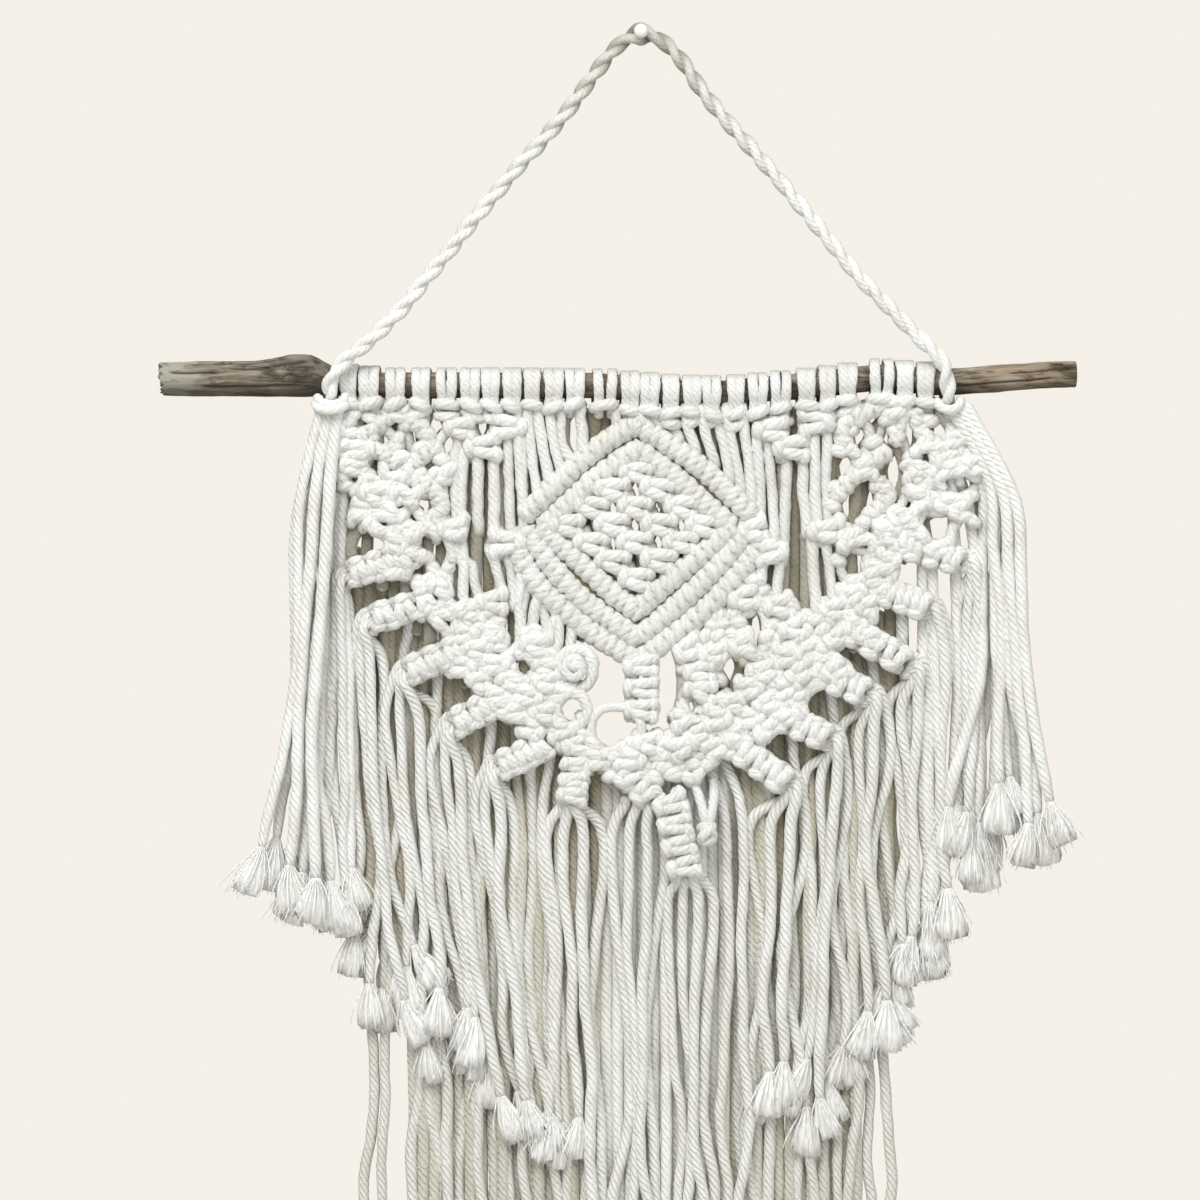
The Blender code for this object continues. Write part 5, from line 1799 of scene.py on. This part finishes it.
@dataclass
class Branch:
    """The driftwood branch, from its broken left end to its sawn right end."""

    stations: tuple = (
        (-174.0, -124.8, 5.8), (-173.7, -124.8, 6.0), (-172.8, -124.8, 6.05),
        (-160.0, -124.7, 6.3), (-138.0, -124.7, 6.4),
        (-127.0, -123.9, 7.4), (-120.0, -123.2, 8.2), (-115.0, -124.3, 6.4),
        (-110.0, -125.8, 5.0), (-90.0, -127.2, 4.6), (-52.0, -127.1, 4.6),
        (-15.0, -127.3, 4.5), (14.0, -129.8, 4.7), (30.0, -130.0, 4.6), (57.0, -127.6, 4.6),
        (86.0, -124.2, 4.9), (111.0, -126.0, 4.9), (129.0, -124.7, 4.9), (147.0, -123.2, 4.7),
        (156.0, -123.0, 4.8), (156.8, -123.0, 4.75), (157.0, -123.0, 4.6),
    )  # fmt: skip
    sides: int = 20
    ends: tuple = (-174.0, 157.0)
    broken_from: float = -168.0
    eye: tuple = (-116.6, -117.6)
    eye_size: tuple = (1.9, 1.7)
    eye_depth: float = 2.6
    checks: tuple = (
        (-166.0, -128.0, 62.0, 0.9), (-160.0, -122.0, 100.0, 0.8), (-172.0, -150.0, 20.0, 1.1),
        (-150.0, -118.0, 36.0, 0.7), (-168.0, -140.0, 140.0, 0.8), (112.0, 126.0, 48.0, 1.2),
        (122.0, 154.0, 74.0, 0.9), (130.0, 157.5, 20.0, 0.8), (108.0, 150.0, -20.0, 0.7),
        (-160.0, -120.0, -30.0, 0.8), (115.0, 150.0, 160.0, 0.7),
    )

    def at(self, x: float) -> tuple:
        """The branch's middle height and girth at x."""
        xs = [s[0] for s in self.stations]
        return tuple(float(np.interp(x, xs, [s[k] for s in self.stations])) for k in (1, 2))

    def build(self, finish: bpy.types.Material) -> bpy.types.Object:
        """Draws the branch out section by section, then carves its grain.

        Args:
            finish: The wood.

        Returns:
            The branch.
        """
        start_clean()
        x, z, girth = self.stations[0]
        bpy.ops.mesh.primitive_circle_add(
            vertices=self.sides, radius=girth * MM, fill_type="NGON",
            location=(x * MM, -BRANCH_DEPTH * MM, z * MM), rotation=(0.0, math.pi / 2, 0.0),
        )  # fmt: skip
        made = bpy.context.object
        made.name = made.data.name = "driftwood"
        bpy.ops.object.transform_apply(location=True, rotation=True, scale=True)
        bpy.ops.object.mode_set(mode="EDIT")
        bpy.ops.mesh.select_all(action="SELECT")
        for a, b in zip(self.stations, self.stations[1:]):
            steps = max(1, round((b[0] - a[0]) / 6.0))
            for i in range(steps):
                low, high = (
                    [a[k] + (b[k] - a[k]) * (i + j) / steps for k in range(3)] for j in (0, 1)
                )
                move = ((high[0] - low[0]) * MM, 0.0, (high[1] - low[1]) * MM)
                bpy.ops.mesh.extrude_region_move(TRANSFORM_OT_translate={"value": move})
                grow = high[2] / low[2]
                bpy.ops.transform.resize(
                    value=(1.0, grow, grow),
                    center_override=(high[0] * MM, -BRANCH_DEPTH * MM, high[1] * MM),
                )
        soften(made)
        self.carve(made)
        paint(made, finish, "driftwood", "driftwood_branch")
        LOG.info("branch: %d faces", len(made.data.polygons))
        return made

    def carve(self, made: bpy.types.Object) -> None:
        """Moves the skin in and out: knots of wood, grain, checks and the broken end."""
        count = len(made.data.vertices)
        co = np.empty(count * 3, np.float32)
        made.data.vertices.foreach_get("co", co)
        co = co.reshape(-1, 3).astype(float) / MM
        hollow = np.zeros(count)
        for i, (x, y, z) in enumerate(co):
            middle, girth = self.at(float(np.clip(x, *self.ends)))
            off = np.array([y + BRANCH_DEPTH, z - middle])
            far = math.hypot(*off)
            if far < 1e-6:
                continue
            angle = math.degrees(math.atan2(off[1], -off[0]))
            slow = noise.noise(Vector((x * 0.035, y * 0.16, z * 0.16)))
            fine = noise.noise(Vector((x * 0.07, y * 1.1, z * 1.1 + 40.0)))
            thin = noise.noise(Vector((x * 0.16, y * 2.4 + 9.0, z * 2.4)))
            move = slow * 0.60 + fine * 0.26 + thin * 0.14
            for start, end, where, deep in self.checks:
                if start < x < end:
                    wander = 7.0 * noise.noise(Vector((x * 0.09, where, 0.0)))
                    gap = abs((angle - where - wander + 180.0) % 360.0 - 180.0)
                    share = math.exp(-((gap / 5.5) ** 2))
                    share *= min(1.0, (x - start) / 4.0, (end - x) / 4.0)
                    move -= deep * share
                    hollow[i] = max(hollow[i], share)
            eye = math.hypot(
                (x - self.eye[0]) / self.eye_size[0], (z - self.eye[1]) / self.eye_size[1]
            )
            if y < -BRANCH_DEPTH and eye < 1.6:
                share = math.exp(-(eye**2) * 1.6)
                move -= self.eye_depth * share
                hollow[i] = max(hollow[i], share)
            scale = max(0.3, 1.0 + move / far * min(1.0, far / (0.6 * girth)))
            co[i, 1] = -BRANCH_DEPTH + off[0] * scale
            co[i, 2] = middle + off[1] * scale
            if x < self.broken_from:
                ragged = noise.noise(Vector((3.0, y * 0.5, z * 0.5)))
                ragged += 0.5 * noise.noise(Vector((8.0, y * 1.4, z * 1.4)))
                slant = 1.6 * (z + 124.8) / 6.0
                pull = 2.4 * ragged + 1.3 - slant * 0.5
                co[i, 0] = max(self.ends[0], x + max(0.0, pull) * (self.broken_from - x) / 6.0)
        made.data.vertices.foreach_set("co", (co * MM).astype(np.float32).ravel())
        # Each point's share in a check or the knot's eye, which the wood's finish paints as shade.
        made.data.attributes.new("hollow", "FLOAT", "POINT")
        made.data.attributes["hollow"].data.foreach_set("value", hollow.astype(np.float32))
        made.data.update()


@dataclass
class Peg:
    """The turned peg: a thin shaft from the wall and a round enamelled head."""

    shaft: float = 0.9
    profile: tuple = (
        (0.9, 16.2), (1.5, 16.45), (2.3, 16.9), (2.7, 17.7), (2.62, 18.6), (2.2, 19.4),
        (1.4, 19.9), (0.55, 20.08),
    )

    def build(self, finish: bpy.types.Material) -> bpy.types.Object:
        """Turns the peg.

        Args:
            finish: The enamel.

        Returns:
            The peg.
        """
        start_clean()
        bpy.ops.mesh.primitive_circle_add(
            vertices=20, radius=self.shaft * MM, fill_type="NGON", location=(0.0, 0.0, 0.0),
            rotation=(math.pi / 2, 0.0, 0.0),
        )  # fmt: skip
        made = bpy.context.object
        made.name = made.data.name = "peg"
        bpy.ops.object.transform_apply(location=True, rotation=True, scale=True)
        bpy.ops.object.mode_set(mode="EDIT")
        bpy.ops.mesh.select_all(action="SELECT")
        girth, depth = self.shaft, 0.0
        for wide, far in ((self.shaft, 0.3), (self.shaft, 8.0), *self.profile):
            bpy.ops.mesh.extrude_region_move(
                TRANSFORM_OT_translate={"value": (0.0, (depth - far) * MM, 0.0)}
            )
            grow = wide / girth
            bpy.ops.transform.resize(
                value=(grow, 1.0, grow), center_override=(0.0, -far * MM, 0.0)
            )
            girth, depth = wide, far
        soften(made)
        paint(made, finish, "enamel", "wall_peg")
        LOG.info("peg: %d faces", len(made.data.polygons))
        return made


# ---------------------------------------------------------------- studio


@dataclass
class Studio:
    """A plain pale studio: its light, its floor and its camera."""

    paper: tuple = (0.913, 0.871, 0.807)
    sky: tuple = (0.98, 0.99, 1.0)
    behind: tuple = (0.42, 0.385, 0.32)
    sky_strength: float = 0.62
    key: float = 26.0
    fill: float = 6.0
    rim: float = 4.0
    lens: float = 133.33
    distance: float = 1.6
    aim: tuple = (0.0, -0.015, -0.23)

    def build(self) -> None:
        """Sets the studio up."""
        self.world()
        self.lamp("key", (-0.50, -1.30, 1.05), 1.1, self.key)
        self.lamp("fill", (0.9, -1.5, 0.1), 1.6, self.fill)
        self.lamp("rim", (0.2, 1.3, 0.9), 1.4, self.rim)
        bpy.ops.mesh.primitive_plane_add(size=1.3, location=(0.0, -0.1, -0.9))
        floor = bpy.context.object
        floor.name = "floor"
        made, g, shader = blank("floor_paper")
        tint = g.blend(g.noise(g.here(), 3.0, 2.0), (0.82, 0.79, 0.74), (0.86, 0.83, 0.78))
        g.feed(shader, {"Base Color": tint, "Roughness": 0.9})
        floor.data.materials.append(made)
        floor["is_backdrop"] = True
        lens = bpy.data.cameras.new("camera")
        lens.lens, lens.sensor_width = self.lens, 36.0
        camera = bpy.data.objects.new("camera", lens)
        middle = place(600.0, 600.0, PANEL_DEPTH)
        camera.location = (middle[0] * MM, middle[1] * MM - self.distance, middle[2] * MM)
        camera.rotation_euler = (math.pi / 2, 0.0, 0.0)
        bpy.context.scene.collection.objects.link(camera)
        bpy.context.scene.camera = camera
        bpy.context.scene.view_settings.view_transform = "Standard"
        bpy.context.scene.view_settings.look = "None"

    def world(self) -> None:
        """Pale paper behind, and soft light that is dimmer from the wall's side."""
        world = bpy.data.worlds.new("studio")
        bpy.context.scene.world = world
        world.use_nodes = True
        g = Graph(world.node_tree)
        g.tree.nodes.clear()
        way = g.wire("ShaderNodeTexCoord", output="Generated")
        _, y, z = g.split(way)
        share = g.between(y, -0.35, 0.55)
        glow = g.blend(share, self.sky, self.behind)
        glow = g.blend(g.between(z, -1.0, 0.2), g.blend(0.5, glow, self.behind), glow)
        soft = g.wire("ShaderNodeBackground", None, {"Color": glow, "Strength": self.sky_strength})
        paper = g.wire("ShaderNodeBackground", None, {"Color": full(self.paper), "Strength": 1.0})
        seen = g.wire("ShaderNodeLightPath", output="Is Camera Ray")
        mix = g.wire("ShaderNodeMixShader", None, {0: seen, 1: soft, 2: paper})
        g.node("ShaderNodeOutputWorld", None, {0: mix})

    def lamp(self, name: str, spot: tuple, size: float, power: float) -> None:
        """A large soft lamp aimed at the panel's middle."""
        light = bpy.data.lights.new(name, "AREA")
        light.size, light.energy = size, power
        made = bpy.data.objects.new(name, light)
        made.location = spot
        aim = Vector(self.aim) - Vector(spot)
        made.rotation_euler = aim.to_track_quat("-Z", "Y").to_euler()
        bpy.context.scene.collection.objects.link(made)


def corners() -> list:
    """The shown object's box as plain numbers."""
    return [[round(float(v), 6) for v in corner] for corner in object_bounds()]


def main() -> None:
    """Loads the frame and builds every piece."""
    logging.basicConfig(level=logging.INFO, format="%(message)s")
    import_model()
    Studio().build()
    laid = Cotton(
        "cotton_laid", 0.66, 0.60, groove=(0.50, 0.48, 0.385), fold=(0.62, 0.585, 0.475),
        shadow=(0.42, 0.365, 0.25), soft=0.78,
    ).material()
    pale = Cotton(
        "cotton_pale", 0.52, 0.60, light=(0.94, 0.942, 0.912), groove=(0.64, 0.62, 0.52),
        fold=(0.70, 0.675, 0.58), shadow=(0.46, 0.41, 0.30), soft=0.74,
    ).material()
    soft = Cotton("cotton_soft", 0.26, 0.55, light=(0.95, 0.952, 0.925)).material()
    knotted = Cotton("cotton_knotted", 0.34, 1.0).material()
    fluff = Fluff().material()
    branch = Branch()
    branch.build(Driftwood().material())
    Peg().build(Enamel().material())
    HangingCord().build(branch, soft)
    Panel().build(branch, knotted)
    for fringe in FRINGES:
        fringe.build(pale if fringe.name in PALE else laid, fluff)


if __name__ == "__main__":
    main()
